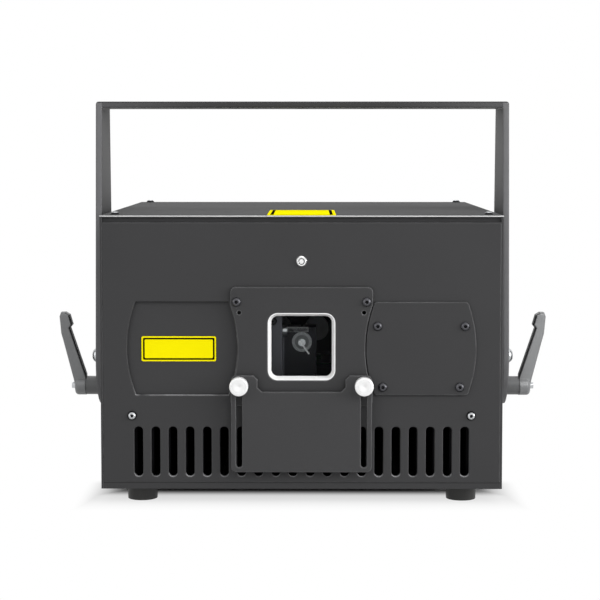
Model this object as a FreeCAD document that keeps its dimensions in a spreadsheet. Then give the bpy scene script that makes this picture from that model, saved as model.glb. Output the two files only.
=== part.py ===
import FreeCAD, Part
import math
import os
from types import SimpleNamespace

import Sketcher

# A laser show projector: a sheet metal case on four rubber feet, held in a U bracket by two pivot screws
# and two clamp levers. The beam leaves through a bevelled window in the front, which a sliding shutter
# plate can mask. X points right as seen from the front, Y to the back, Z up. The origin lies on the floor
# under the case's middle.

SIZES = (
    ("body_width", 330, "case, over the side panels"),
    ("body_height", 225, "case, from the tray's underside to the top cover"),
    ("body_depth", 340, "case, from the front face to the rear face"),
    ("sheet", 2, "thickness of tray, side panels and rear panel"),
    ("front_sheet", 3, "thickness of the front panel"),
    ("top_sheet", 1.5, "thickness of the top cover"),
    ("band_height", 4, "set-back band under the top cover's front and rear edge"),
    ("band_setback", 1.5, "how far that band lies behind the cover's edge"),
    ("tray_lip", 5.4, "height of the tray's front and rear lip"),
    ("tray_flange", 12, "height of the tray's side flanges"),
    ("cover_flange", 15, "width of the side panels' top flanges"),
    ("seat_gap", 0.1, "gap around a piece that is seated in another"),
    ("running_gap", 0.06, "radial gap of a shaft in its hole"),
    ("play", 0.2, "axial gap between pieces that turn against each other"),
    ("foot_height", 13, "rubber foot"),
    ("foot_radius", 13, "rubber foot at the tray"),
    ("foot_sole_radius", 12.3, "rubber foot at the floor"),
    ("foot_side_inset", 31.5, "foot axis from the case side"),
    ("foot_end_inset", 27.5, "foot axis from the front or rear face"),
    ("foot_seat", 5, "height of the screw seat in the foot"),
    ("vent_count", 20, "slots in the front panel"),
    ("vent_margin", 31.05, "outermost slot's centre from the case side"),
    ("vent_width", 7.2, "slot width"),
    ("vent_length", 41.2, "slot length"),
    ("vent_rise", 31, "slot centre above the tray's underside"),
    ("slot_flat", 0.4, "flat left between the two round corners of a slot's end"),
    ("barrel_inner", 52.9, "barrel-shaped plate's inner side from the middle"),
    ("barrel_margin", 21.9, "barrel-shaped plate's outer side from the case side"),
    ("barrel_drop", 1.7, "barrel-shaped plate's middle below the window's middle"),
    ("barrel_short", 21.2, "how much shorter it is than the aperture plate"),
    ("barrel_bulge", 7.1, "how far each side of it bulges"),
    ("barrel_corner", 3, "corner radius of it"),
    ("plate_edge", 0.5, "rounding of the plates' front edges"),
    ("wall_edge", 0.8, "rounding of the side panels' and the cover's outer edges"),
    ("cover_thickness", 2, "access cover"),
    ("cover_screw_top", 2.3, "access cover's upper screws from its flat top's ends"),
    ("cover_screw_top_drop", 20, "the same, below its upper edge"),
    ("cover_screw_low", 6.5, "access cover's lower screws from its flat bottom's ends"),
    ("cover_screw_low_rise", 6.7, "the same, above its lower edge"),
    ("access_side", 15, "opening behind the access cover, from the flat's ends"),
    ("access_edge", 16.4, "the same, from its upper and lower edge"),
    ("blank_margin", 5, "how far the blanking plate reaches past the recess"),
    ("blank_thickness", 2, "blanking plate"),
    ("aperture_half", 58.4, "aperture plate, half width"),
    ("aperture_low", 69, "aperture plate's lower edge above the tray's underside"),
    ("aperture_drop", 52.5, "aperture plate's upper edge below the front panel's top"),
    ("aperture_thickness", 3, "aperture plate"),
    ("aperture_corner", 4.5, "aperture plate's corners"),
    ("plate_gap", 0.8, "gap between the aperture plate's waist and the barrel plates"),
    ("aperture_screw_offset", 53.2, "aperture plate screws from the middle"),
    ("aperture_screw_drop", 12.3, "aperture plate screws below its upper edge"),
    ("spare_hole_drop", 21, "upper tapped holes below its upper edge"),
    ("tap_radius", 1.65, "bore of those tapped holes"),
    ("bezel_outer", 55.2, "bezel, outside"),
    ("bezel_inner", 49.6, "bezel, clear opening"),
    ("bezel_corner", 8.2, "bezel's outer corner radius"),
    ("bezel_bevel_width", 2.1, "bright bevel seen from the front"),
    ("bezel_bevel_depth", 5.5, "bright bevel, front to back"),
    ("glass_size", 64, "window glass"),
    ("glass_thickness", 3, "window glass"),
    ("shutter_half", 57.6, "shutter plate, half width"),
    ("shutter_low", 15.2, "shutter's lower edge above the tray's underside"),
    ("shutter_over", 8.4, "shutter's upper edge above the thumb screws"),
    ("shutter_thickness", 2, "shutter plate"),
    ("shutter_corner", 4.5, "shutter plate's corners"),
    ("notch_half", 35.9, "half width of the notch in the shutter's top"),
    ("notch_depth", 13.5, "depth of that notch"),
    ("notch_slope", 3.5, "bevel at the notch's corners"),
    ("shutter_slot_width", 4.9, "slots that the thumb screws run in"),
    ("shutter_slot_low", 19.3, "lower end of those slots above the tray's underside"),
    ("spacer_height", 2.6, "washers that hold the shutter off the aperture plate"),
    ("spacer_radius", 4.4, "the same, outer radius"),
    ("thumb_offset", 51, "thumb screws from the middle"),
    ("thumb_rise", 17.6, "thumb screws above the aperture plate's lower edge"),
    ("thumb_radius", 7.7, "thumb screw head"),
    ("thumb_length", 8, "thumb screw head"),
    ("thumb_edge", 0.7, "bevel on the head's edges"),
    ("lamp_rise", 20.8, "emission lamp above the aperture plate"),
    ("lamp_radius", 4.5, "emission lamp's bezel"),
    ("lamp_barrel", 3.6, "its barrel in the panel"),
    ("lamp_bore", 2.7, "its bore"),
    ("lamp_length", 12, "its barrel's length"),
    ("lamp_proud", 2, "how far the bezel stands out"),
    ("marker_side", 7.4, "front marker plate from the recess's flat top's ends"),
    ("marker_height", 20.6, "front marker plate"),
    ("marker_shift", 2.8, "front marker plate's middle outside the recess's middle"),
    ("marker_drop", 0.7, "front marker plate's middle below the recess's middle"),
    ("marker_thickness", 0.5, "marker plates"),
    ("marker_corner", 1.4, "marker plates' corners"),
    ("top_marker_width", 56.5, "marker plate on the top cover"),
    ("top_marker_depth", 105, "marker plate on the top cover"),
    ("top_marker_inset", 6, "the same, behind the front edge"),
    ("screw_radius", 2, "shank of the case screws"),
    ("screw_length", 8, "shank of the case screws"),
    ("screw_head_radius", 3.9, "button head of the case screws"),
    ("screw_head_height", 2.2, "button head of the case screws"),
    ("screw_socket", 2.5, "hexagon socket across flats"),
    ("screw_socket_depth", 1.3, "hexagon socket"),
    ("deck_screw_inset", 25.8, "screws into the deck's edges, from the case side"),
    ("top_screw_inset", 9.5, "top cover screws from the case side"),
    ("top_screw_front", 28, "front top cover screws behind the front edge"),
    ("top_screw_rear", 8, "rear top cover screws before the rear edge"),
    ("bracket_gap", 14.9, "case side to the bracket arm"),
    ("bracket_thickness", 5.5, "bracket plate"),
    ("bracket_clear", 91.2, "bracket's bar above the top cover"),
    ("bracket_bend", 2.5, "outer radius of the bracket's bends"),
    ("arm_half_top", 29, "bracket arm, half depth at the top"),
    ("arm_end_radius", 44, "bracket arm's round lower end"),
    ("pivot_rise", 89, "pivot axis above the tray's underside"),
    ("clamp_drop", 27.8, "clamp stud below the pivot axis"),
    ("tilt_limit", 65, "bracket tilt either way, in degrees"),
    ("slot_side_gap", 0.4, "gap beside the stud in the arc slot"),
    ("rig_hole_radius", 6.5, "middle hole in the bracket's bar"),
    ("rig_side_radius", 5.25, "outer holes in the bracket's bar"),
    ("rig_side_offset", 60, "outer holes from the middle"),
    ("stud_radius", 4, "shank of the clamp studs"),
    ("pivot_shank", 3, "shank of the pivot screws"),
    ("pivot_spacer_radius", 18, "spacer round the pivot"),
    ("spigot_radius", 4.9, "spigot that the bracket turns on"),
    ("clamp_spacer_radius", 9, "spacer round the clamp stud"),
    ("pivot_flange_radius", 7.2, "flange of the pivot screw"),
    ("pivot_flange_height", 0.6, "flange of the pivot screw"),
    ("pivot_head_radius", 6.6, "head of the pivot screw"),
    ("pivot_head_height", 3, "dome of its head"),
    ("pivot_head_skirt", 4.4, "straight part of its head"),
    ("pivot_socket", 4, "its hexagon socket across flats"),
    ("pivot_socket_depth", 1.8, "its hexagon socket"),
    ("backing_thickness", 6, "threaded plate behind the side panel"),
    ("backing_half", 24, "the same, half depth"),
    ("backing_margin", 17, "the same, past the two axes"),
    ("collar_radius", 8.5, "collar of the clamp stud"),
    ("collar_length", 13.8, "collar of the clamp stud"),
    ("teeth_radius", 6.4, "toothed end of the stud inside the handle"),
    ("teeth_length", 4.2, "toothed end of the stud inside the handle"),
    ("lever_hub_radius", 8.8, "hub of the lever handle"),
    ("lever_hub_length", 10.2, "hub of the lever handle"),
    ("lever_hub_edge", 3.2, "rounding of the hub's outer edge"),
    ("lever_web", 1, "web in the hub that the spring bears on"),
    ("grip_thickness", 12, "lever grip, front to back"),
    ("grip_edge", 2, "rounding of the grip's edges"),
    ("grip_root_reach", 25.4, "grip's outer side at the hub, from the bracket arm"),
    ("grip_root_rise", 5.8, "the same, above the hub axis"),
    ("grip_knee_reach", 34.5, "grip's outer side below its bend, from the bracket arm"),
    ("grip_knee_rise", 41.1, "the same, above the hub axis"),
    ("grip_bend_reach", 36.6, "grip's outer side above its bend, from the bracket arm"),
    ("grip_bend_rise", 48.6, "the same, above the hub axis"),
    ("grip_shoulder_reach", 38, "grip's outer side below the tip, from the bracket arm"),
    ("grip_shoulder_rise", 64.3, "the same, above the hub axis"),
    ("grip_tip_outer", 36.6, "tip's outer corner from the bracket arm"),
    ("grip_tip_inner", 32.7, "tip's inner corner from the bracket arm"),
    ("grip_tip_rise", 68, "tip above the hub axis"),
    ("grip_pad_top_reach", 28.9, "upper end of the thumb pad from the bracket arm"),
    ("grip_pad_top_rise", 65.7, "the same, above the hub axis"),
    ("grip_pad_reach", 26.2, "thumb pad's lower end from the bracket arm"),
    ("grip_pad_rise", 56.4, "the same, above the hub axis"),
    ("grip_neck_reach", 28.4, "grip's inner side below the pad, from the bracket arm"),
    ("grip_neck_rise", 53.6, "the same, above the hub axis"),
    ("grip_heel_rise", 10.5, "grip's inner side at the hub, above the hub axis"),
    ("keeper_radius", 1.9, "retaining screw's shank"),
    ("keeper_thread", 6, "retaining screw's length in the stud"),
    ("keeper_head_radius", 2.9, "retaining screw's head"),
    ("keeper_head_height", 3, "retaining screw's head"),
    ("keeper_recess", 3.3, "recess round the retaining screw's head"),
    ("deck_inset", 15, "optical deck from the case side"),
    ("deck_thickness", 10, "optical deck"),
    ("deck_rise", 60.7, "deck's middle above the tray's underside"),
    ("sink_inset", 25, "heat sink from the case side"),
    ("sink_front", 20, "heat sink behind the front face"),
    ("sink_rear", 40, "heat sink before the rear face"),
    ("sink_base", 8, "heat sink's base"),
    ("fin_count", 21, "heat sink fins"),
    ("fin_thickness", 3, "heat sink fins"),
    ("fin_clear", 5, "fin tips above the tray"),
    ("fan_size", 50, "fan frame"),
    ("fan_depth", 15, "fan frame"),
    ("fan_bore", 23.5, "radius of the fan's opening"),
    ("fan_offset", 80, "fan axis from the middle"),
    ("fan_rise", 29.5, "fan axis above the tray's underside"),
    ("fan_hub_radius", 10, "fan hub"),
    ("fan_blade_tip", 22.8, "radius over the fan blades"),
    ("fan_blade_count", 7, "fan blades"),
    ("fan_blade_thickness", 1.4, "fan blades"),
    ("fan_blade_turn", 35, "pitch of the fan blades, in degrees"),
    ("fan_spider", 3, "thickness of the motor seat and its four arms"),
    ("fan_shaft", 1.5, "fan shaft radius"),
    ("grille_count", 6, "slots before each fan"),
    ("grille_pitch", 7.2, "slot to slot"),
    ("grille_width", 4.6, "slot width"),
    ("grille_length", 40, "slot length"),
    ("scan_plane", 53, "vertical scan axis behind the front face"),
    ("scan_x_drop", 3.5, "horizontal scanner's axis below the window's middle"),
    ("scan_y_rise", 8, "vertical scanner's axis above the window's middle"),
    ("scan_motor_radius", 8.5, "scanner motor"),
    ("scan_motor_length", 38, "scanner motor"),
    ("scan_shaft_radius", 1.5, "scanner shaft"),
    ("scan_clamp_radius", 3.2, "horizontal scanner's mirror clamp"),
    ("scan_disc_radius", 5.4, "vertical scanner's mirror clamp"),
    ("scan_clamp_length", 4, "mirror clamps along their shafts"),
    ("mirror_x_width", 14, "horizontal scan mirror across its axis"),
    ("mirror_x_shift", 3.6, "how far its middle lies below its axis, along the mirror"),
    ("mirror_x_length", 10, "horizontal scan mirror along its axis"),
    ("mirror_x_turn", 55, "its slope at rest, in degrees"),
    ("mirror_y_width", 10.4, "vertical scan mirror across its axis"),
    ("mirror_y_length", 18, "vertical scan mirror along its axis"),
    ("mirror_y_turn", 25, "its slope at rest, in degrees"),
    ("mirror_thickness", 1, "scan and combining mirrors"),
    ("motor_start", 16.6, "vertical scanner's motor face from the middle"),
    ("motor_front", 7, "horizontal scanner's motor face behind the scan plane"),
    ("block_wall", 4, "scanner block above and below the motors"),
    ("block_depth", 26, "scanner block along each motor"),
    ("block_slit", 2, "slit that lets the block clamp a motor"),
    ("block_screw_offset", 24.8, "screw in the block's front face from the middle"),
    ("block_screw_rise", 8.5, "the same, above the vertical scanner's axis"),
    ("laser_spacing", 8, "gap between laser modules"),
    ("laser_rear_gap", 33, "laser modules to the control board"),
    ("laser_margin", 36, "last module's beam from the deck's edge"),
    ("laser_first", 46, "first module's beam from the middle"),
    ("laser_head", 16, "module above the beam"),
    ("laser_gap", 24, "beam's turning point to the module's face"),
    ("nozzle_radius", 6, "lens barrel of a module"),
    ("nozzle_length", 10, "lens barrel of a module"),
    ("post_size", 14, "post under a combining mirror"),
    ("post_drop", 9, "post's top below the beam"),
    ("post_slot_depth", 3, "groove that the mirror stands in"),
    ("combiner_width", 13, "combining mirror"),
    ("combiner_height", 20, "combining mirror"),
    ("board_thickness", 1.6, "circuit boards"),
    ("board_lift", 8, "boards above the deck"),
    ("board_post", 3, "radius of the posts under a board"),
    ("board_post_inset", 6, "posts from the board's corners"),
    ("chip_size", 16, "largest chip on a board"),
    ("chip_height", 4, "largest chip on a board"),
    ("driver_inset", 25, "driver board's left edge from the case side"),
    ("driver_width", 66, "driver board"),
    ("driver_depth", 90, "driver board"),
    ("driver_front", 40, "driver board behind the front face"),
    ("control_gap", 16, "power supply to the control board"),
    ("control_inset", 20, "control board's right edge from the deck's edge"),
    ("control_depth", 70, "control board"),
    ("control_rear", 50, "control board's rear edge before the rear face"),
    ("supply_inset", 23, "power supply's left edge from the case side"),
    ("supply_width", 96, "power supply"),
    ("supply_gap", 20, "driver board to the power supply"),
    ("supply_height", 48, "power supply"),
    ("supply_rear", 40, "power supply's rear edge before the rear face"),
    ("socket_width", 26, "panel socket's flange"),
    ("socket_height", 31, "panel socket's flange"),
    ("socket_flange", 2, "panel socket's flange"),
    ("socket_corner", 4, "panel socket's flange corners"),
    ("socket_barrel", 11.8, "panel socket's barrel radius"),
    ("socket_length", 18, "panel socket's barrel behind the panel"),
    ("socket_bore", 9.3, "radius of the hollow that takes the plug"),
    ("socket_hollow", 14, "depth of that hollow"),
    ("socket_rise", 97, "sockets above the tray's underside"),
    ("socket_pitch", 38, "socket to socket"),
    ("socket_first", 14, "first signal socket from the middle"),
    ("inlet_inset", 47, "mains inlet from the case side"),
    ("lock_inset", 47, "key lock from the case side"),
    ("fittings_drop", 6.75, "key lock, display and knob below half way from the sockets to the cover"),
    ("lock_radius", 11, "key lock's flange"),
    ("lock_flange", 3, "key lock's flange"),
    ("lock_barrel", 9.4, "key lock's barrel"),
    ("lock_length", 20, "key lock's barrel behind the panel"),
    ("plug_radius", 5, "turning plug in the lock"),
    ("key_bow", 11, "radius of the key's bow"),
    ("key_thickness", 2.2, "key"),
    ("key_reach", 18, "how far the key stands out of the rear face"),
    ("key_hole", 2.6, "hole in the key's bow"),
    ("display_width", 72, "display window"),
    ("display_height", 34, "display window"),
    ("display_offset", 10, "display's centre from the middle"),
    ("display_proud", 2, "display's frame in front of the panel"),
    ("knob_inset", 87, "menu knob from the case side"),
    ("knob_radius", 9, "menu knob"),
    ("knob_length", 13, "menu knob"),
    ("knob_shaft", 3, "menu knob's shaft"),
    ("knob_shaft_length", 12, "menu knob's shaft behind its skirt"),
    ("eye_inset", 35, "safety eye from the case side"),
    ("eye_drop", 37, "safety eye below the top cover's face"),
    ("eye_base_width", 32, "safety eye's base"),
    ("eye_base_height", 26, "safety eye's base"),
    ("eye_thickness", 4, "safety eye's plates"),
    ("eye_reach", 15, "safety eye's tongue beyond its base"),
    ("eye_hole", 5, "hole in the tongue"),
)

doc = FreeCAD.newDocument("laser_show_projector")
sheet = doc.addObject("Spreadsheet::Sheet", "Sizes")
subparts = []


class Measure:
    """A length that keeps both its number and the sheet expression that yields it."""

    def __init__(self, number, text):
        self.number = number
        self.text = text

    def __add__(self, other):
        other = measure(other)
        return Measure(self.number + other.number, f"({self.text} + {other.text})")

    def __sub__(self, other):
        other = measure(other)
        return Measure(self.number - other.number, f"({self.text} - {other.text})")

    def __mul__(self, other):
        other = measure(other)
        return Measure(self.number * other.number, f"({self.text} * {other.text})")

    def __truediv__(self, other):
        other = measure(other)
        return Measure(self.number / other.number, f"({self.text} / {other.text})")

    def __radd__(self, other):
        return measure(other) + self

    def __rsub__(self, other):
        return measure(other) - self

    def __rmul__(self, other):
        return measure(other) * self

    def __neg__(self):
        return measure(-1) * self


def measure(amount):
    """Any amount as a Measure."""
    if isinstance(amount, Measure):
        return amount
    return Measure(float(amount), f"({float(amount)!r})")


def root(amount):
    """Square root of a Measure."""
    return Measure(math.sqrt(amount.number), f"sqrt({amount.text})")


def sine(turn):
    """Sine of a Measure in degrees."""
    return Measure(math.sin(math.radians(turn.number)), f"sin({turn.text} * 1 deg)")


def cosine(turn):
    """Cosine of a Measure in degrees."""
    return Measure(math.cos(math.radians(turn.number)), f"cos({turn.text} * 1 deg)")


def fill_sheet():
    """Write the driving dimensions into the sheet and return them as Measures."""
    named = SimpleNamespace()
    for row, (alias, amount, note) in enumerate(SIZES, 1):
        sheet.set(f"A{row}", note)
        sheet.set(f"B{row}", str(amount))
        sheet.setAlias(f"B{row}", alias)
        setattr(named, alias, Measure(float(amount), f"Sizes.{alias}"))
    doc.recompute()
    return named


size = fill_sheet()

# Faces and levels that several pieces share.
half_width = size.body_width / 2
inner_half = half_width - size.sheet
front = -size.body_depth / 2
back = size.body_depth / 2
front_inside = front + size.front_sheet
back_inside = back - size.sheet
floor_top = size.foot_height + size.sheet
case_top = size.foot_height + size.body_height
cover_under = case_top - size.top_sheet
panel_low = size.foot_height + size.tray_lip
panel_high = cover_under - size.band_height
plate_face = front - size.aperture_thickness
shutter_back = plate_face - size.spacer_height - size.seat_gap
shutter_face = shutter_back - size.shutter_thickness
deck_low = size.foot_height + size.deck_rise - size.deck_thickness / 2
deck_top = deck_low + size.deck_thickness
plate_low = size.foot_height + size.aperture_low
plate_high = panel_high - size.aperture_drop
window_height = (plate_low + plate_high) / 2
thumb_height = plate_low + size.thumb_rise
lamp_height = plate_high + size.lamp_rise
barrel_height = plate_high - plate_low - size.barrel_short
barrel_level = window_height - size.barrel_drop
barrel_outer = half_width - size.barrel_margin
barrel_middle = (barrel_outer + size.barrel_inner) / 2
barrel_flat = barrel_outer - size.barrel_inner - 2 * size.barrel_bulge
deck_half = half_width - size.deck_inset
sink_half = half_width - size.sink_inset
scan_x_level = window_height - size.scan_x_drop
scan_y_level = window_height + size.scan_y_rise
socket_level = size.foot_height + size.socket_rise
fittings_level = (socket_level + size.socket_height / 2 + case_top) / 2 - size.fittings_drop
bracket_top = case_top + size.bracket_clear + size.bracket_thickness
pivot_height = size.foot_height + size.pivot_rise
clamp_height = pivot_height - size.clamp_drop
arm_inner = half_width + size.bracket_gap
arm_outer = arm_inner + size.bracket_thickness
screw_hole = size.screw_radius + size.seat_gap
stud_hole = size.stud_radius + size.running_gap
pivot_hole = size.pivot_shank + size.seat_gap

FACING = {
    "+Z": FreeCAD.Rotation(),
    "-Z": FreeCAD.Rotation(FreeCAD.Vector(1, 0, 0), 180),
    "+X": FreeCAD.Rotation(FreeCAD.Vector(0, 1, 0), 90),
    "-X": FreeCAD.Rotation(FreeCAD.Vector(0, 1, 0), -90),
    "+Y": FreeCAD.Rotation(FreeCAD.Vector(1, 0, 0), -90),
    "-Y": FreeCAD.Rotation(FreeCAD.Vector(1, 0, 0), 90),
}
SIDES = (("left", -1, "-X"), ("right", 1, "+X"))


def above(rise):
    """Height above the floor of a point that lies rise above the tray's underside."""
    return size.foot_height + rise


def bind(thing, path, amount):
    """Tie a property to the sheet."""
    thing.setExpression(path, measure(amount).text)


def place(thing, at, facing="+Z"):
    """Put a thing at a point with its own +Z turned to face along a row axis."""
    thing.Placement.Rotation = FACING[facing]
    for letter, amount in zip("xyz", at):
        bind(thing, f"Placement.Base.{letter}", amount)
    return thing


def keep(thing, label):
    """Name a finished sub-part."""
    thing.Label = label
    subparts.append(thing)
    return thing


def block(name, x, y, z):
    """Box between two corners, given as a pair per axis."""
    box = doc.addObject("Part::Box", name)
    for path, (low, high) in zip(("Length", "Width", "Height"), (x, y, z)):
        bind(box, path, high - low)
    return place(box, [measure(pair[0]) for pair in (x, y, z)])


def rod(name, at, facing, radius, length):
    """Cylinder from a point along a row axis."""
    cylinder = doc.addObject("Part::Cylinder", name)
    bind(cylinder, "Radius", radius)
    bind(cylinder, "Height", length)
    return place(cylinder, at, facing)


def fuse(name, pieces):
    """One solid out of overlapping or touching pieces."""
    union = doc.addObject("Part::MultiFuse", name)
    union.Shapes = list(pieces)
    union.Refine = True
    return union


def cut(name, base, tools):
    """Base without its tools."""
    tools = list(tools)
    difference = doc.addObject("Part::Cut", name)
    difference.Base = base
    difference.Tool = tools[0] if len(tools) == 1 else fuse(name + "_tools", tools)
    difference.Refine = True
    return difference


def group(name, pieces):
    """Separate solids under one name."""
    bundle = doc.addObject("Part::Compound", name)
    bundle.Links = list(pieces)
    return bundle


def copies(name, source, places):
    """Separate solids of one shape, each at a point and facing along a row axis."""
    links = []
    for number, (at, facing) in enumerate(places, 1):
        link = doc.addObject("App::Link", f"{name}_{number}")
        link.LinkedObject = source
        links.append(place(link, at, facing))
    return group(name, links)


def sketch_on(body, name, plane, offset):
    """Empty sketch on one of the body's own planes, shifted along that plane's normal."""
    sketch = body.newObject("Sketcher::SketchObject", name)
    support = next(item for item in body.Origin.OriginFeatures if item.Role == plane)
    sketch.AttachmentSupport = [(support, "")]
    sketch.MapMode = "FlatFace"
    bind(sketch, "AttachmentOffset.Base.z", offset)
    return sketch


def arc_between(start, finish, bow):
    """Arc from start to finish. A positive bow turns left, a negative one turns right."""
    chord = finish.sub(start)
    radius = abs(bow)
    height = math.sqrt(max(radius ** 2 - chord.Length ** 2 / 4, 0.0))
    across = FreeCAD.Vector(-chord.y, chord.x, 0).normalize()
    centre = start.add(chord * 0.5).add(across * math.copysign(height, bow))
    first, last = (start, finish) if bow > 0 else (finish, start)
    angles = [math.atan2(end.y - centre.y, end.x - centre.x) for end in (first, last)]
    if angles[1] < angles[0]:
        angles[1] += 2 * math.pi
    circle = Part.Circle(centre, FreeCAD.Vector(0, 0, 1), radius)
    return Part.ArcOfCircle(circle, angles[0], angles[1])


def draw(sketch, shapes, limits):
    """Add shapes and their constraints, each with the amount that drives it or None."""
    first = sketch.ConstraintCount
    sketch.addGeometry(shapes)
    sketch.addConstraint([limit for limit, amount in limits])
    for number, (limit, amount) in enumerate(limits, first):
        if amount is not None:
            bind(sketch, f"Constraints[{number}]", amount)


def draw_loop(sketch, points):
    """Closed outline. A point is (u, v), or (u, v, bow) where an arc of radius bow leaves it."""
    first = sketch.GeometryCount
    corners = [FreeCAD.Vector(measure(p[0]).number, measure(p[1]).number, 0) for p in points]
    shapes, ends, limits = [], [], []
    for number, point in enumerate(points):
        start, finish = corners[number], corners[(number + 1) % len(points)]
        if len(point) == 2:
            shapes.append(Part.LineSegment(start, finish))
            ends.append((1, 2))
            continue
        bow = measure(point[2])
        shapes.append(arc_between(start, finish, bow.number))
        ends.append((1, 2) if bow.number > 0 else (2, 1))
        radius = bow if bow.number > 0 else -bow
        limits.append((Sketcher.Constraint("Radius", first + number, radius.number), radius))
    for number, point in enumerate(points):
        after = (number + 1) % len(points)
        here = (first + number, ends[number][0])
        joint = (first + number, ends[number][1], first + after, ends[after][0])
        limits.append((Sketcher.Constraint("Coincident", *joint), None))
        for kind, amount in zip(("DistanceX", "DistanceY"), point):
            amount = measure(amount)
            limits.append((Sketcher.Constraint(kind, -1, 1, *here, amount.number), amount))
    draw(sketch, shapes, limits)


def draw_circle(sketch, u, v, radius):
    """Circle about a point."""
    u, v, radius = measure(u), measure(v), measure(radius)
    first = sketch.GeometryCount
    centre = FreeCAD.Vector(u.number, v.number, 0)
    circle = Part.Circle(centre, FreeCAD.Vector(0, 0, 1), radius.number)
    limits = [
        (Sketcher.Constraint("DistanceX", -1, 1, first, 3, u.number), u),
        (Sketcher.Constraint("DistanceY", -1, 1, first, 3, v.number), v),
        (Sketcher.Constraint("Radius", first, radius.number), radius),
    ]
    draw(sketch, [circle], limits)


def rectangle(u, v):
    """Corner points of a rectangle, counter-clockwise."""
    return [(u[0], v[0]), (u[1], v[0]), (u[1], v[1]), (u[0], v[1])]


def rounded(u, v, corner):
    """Points of a rectangle with rounded corners, counter-clockwise."""
    return [
        (u[0] + corner, v[0]),
        (u[1] - corner, v[0], corner),
        (u[1], v[0] + corner),
        (u[1], v[1] - corner, corner),
        (u[1] - corner, v[1]),
        (u[0] + corner, v[1], corner),
        (u[0], v[1] - corner),
        (u[0], v[0] + corner, corner),
    ]


def span(middle, width):
    """Low and high end of a width about its middle."""
    return middle - width / 2, middle + width / 2


def slot(u, v, width, length):
    """Points of an upright slot with round ends, about its centre."""
    return rounded(span(u, width), span(v, length), (width - size.slot_flat) / 2)


def plate(name, plane, offset, thickness, loops, circles=()):
    """Flat plate padded from a sketch, with holes where inner loops and circles lie."""
    body = doc.addObject("PartDesign::Body", name)
    sketch = sketch_on(body, name + "_outline", plane, offset)
    for points in loops:
        draw_loop(sketch, points)
    for u, v, radius in circles:
        draw_circle(sketch, u, v, radius)
    pad = body.newObject("PartDesign::Pad", name + "_pad")
    pad.Profile = sketch
    bind(pad, "Length", thickness)
    return body


def pocket(body, name, plane, offset, depth, loops=(), circles=()):
    """Cut downwards from a sketch that lies on the body's outer side."""
    doc.recompute()
    before = body.Shape.Volume
    sketch = sketch_on(body, name + "_outline", plane, offset)
    for points in loops:
        draw_loop(sketch, points)
    for u, v, radius in circles:
        draw_circle(sketch, u, v, radius)
    hollow = body.newObject("PartDesign::Pocket", name)
    hollow.Profile = sketch
    bind(hollow, "Length", depth)
    doc.recompute()
    if not body.Shape.Volume < before:
        raise RuntimeError(f"{name} cuts nothing")
    return hollow


def row_of(body, name, feature, plane_axis, pitch, count):
    """Repeat a feature along one of the sketch's axes."""
    pattern = body.newObject("PartDesign::LinearPattern", name)
    pattern.Originals = [feature]
    pattern.Direction = (feature.Profile[0], [plane_axis])
    bind(pattern, "Length", pitch * (count - 1))
    bind(pattern, "Occurrences", count)
    body.Tip = pattern
    doc.recompute()
    return pattern


def round_edges(body, name, radius, wanted):
    """Fillet the edges whose middle point passes the test."""
    doc.recompute()
    base = body.Tip
    picked = []
    for number, edge in enumerate(base.Shape.Edges, 1):
        middle = edge.valueAt((edge.FirstParameter + edge.LastParameter) / 2)
        if wanted(edge, middle):
            picked.append(f"Edge{number}")
    fillet = body.newObject("PartDesign::Fillet", name)
    fillet.Base = (base, picked)
    bind(fillet, "Radius", radius)
    doc.recompute()
    return fillet


def turned(name, points):
    """Solid turned about +Z from an outline of (radius, height) points."""
    body = doc.addObject("PartDesign::Body", name)
    sketch = sketch_on(body, name + "_profile", "XZ_Plane", 0)
    draw_loop(sketch, points)
    revolution = body.newObject("PartDesign::Revolution", name + "_turn")
    revolution.Profile = sketch
    revolution.ReferenceAxis = (sketch, ["V_Axis"])
    revolution.Angle = 360
    doc.recompute()
    return body


def hexagon(flats):
    """Corner points of a hexagon given its width across flats."""
    reach = flats / math.sqrt(3)
    turns = [math.radians(60 * number) for number in range(6)]
    return [(reach * round(math.cos(turn), 9), reach * round(math.sin(turn), 9)) for turn in turns]


def button_screw(name, head, height, shank, length, flats, depth, flange=None):
    """Screw with a domed head above z = 0 and its shank below. A flange is (radius, height, skirt)."""
    crown = head * 0.55
    rise = height
    outline = [(0, -length), (shank, -length), (shank, 0)]
    if flange:
        outline += [(flange[0], 0), (flange[0], flange[1]), (head, flange[1]), (head, flange[1] + flange[2])]
        rise = height + flange[1] + flange[2]
    else:
        outline += [(head, 0)]
    outline[-1] = (*outline[-1], head * 0.9)
    outline += [(crown, rise), (0, rise)]
    body = turned(name, outline)
    pocket(body, name + "_socket", "XY_Plane", rise, depth, [hexagon(flats)])
    return body


def is_upright(edge, letter):
    """True for a straight edge along a row axis."""
    if edge.Curve.TypeId != "Part::GeomLine":
        return False
    return abs(getattr(edge.Curve.Direction, letter)) > 0.999


def make_tray():
    """Folded base tray: floor, low lips at both ends, flanges along the sides."""
    ends = ((front, front + size.sheet), (back_inside, back))
    pieces = [block("tray_floor", (-inner_half, inner_half), (front, back), (size.foot_height, floor_top))]
    for number, end in enumerate(ends, 1):
        height = (size.foot_height, panel_low)
        pieces.append(block(f"tray_lip_{number}", (-inner_half, inner_half), end, height))
    for name, side, facing in SIDES:
        across = sorted((side * inner_half, side * (inner_half - size.sheet)), key=lambda edge: edge.number)
        height = (size.foot_height, size.foot_height + size.tray_flange)
        along = (front + size.front_sheet, back_inside - size.front_sheet + size.sheet)
        pieces.append(block(f"tray_{name}_flange", across, along, height))
    holes = [
        rod(f"tray_hole_{number}", (x, y, size.foot_height), "+Z", screw_hole, size.sheet)
        for number, (x, y) in enumerate(foot_places(), 1)
    ]
    keep(cut("tray", fuse("tray_fold", pieces), holes), "base_tray")


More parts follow.
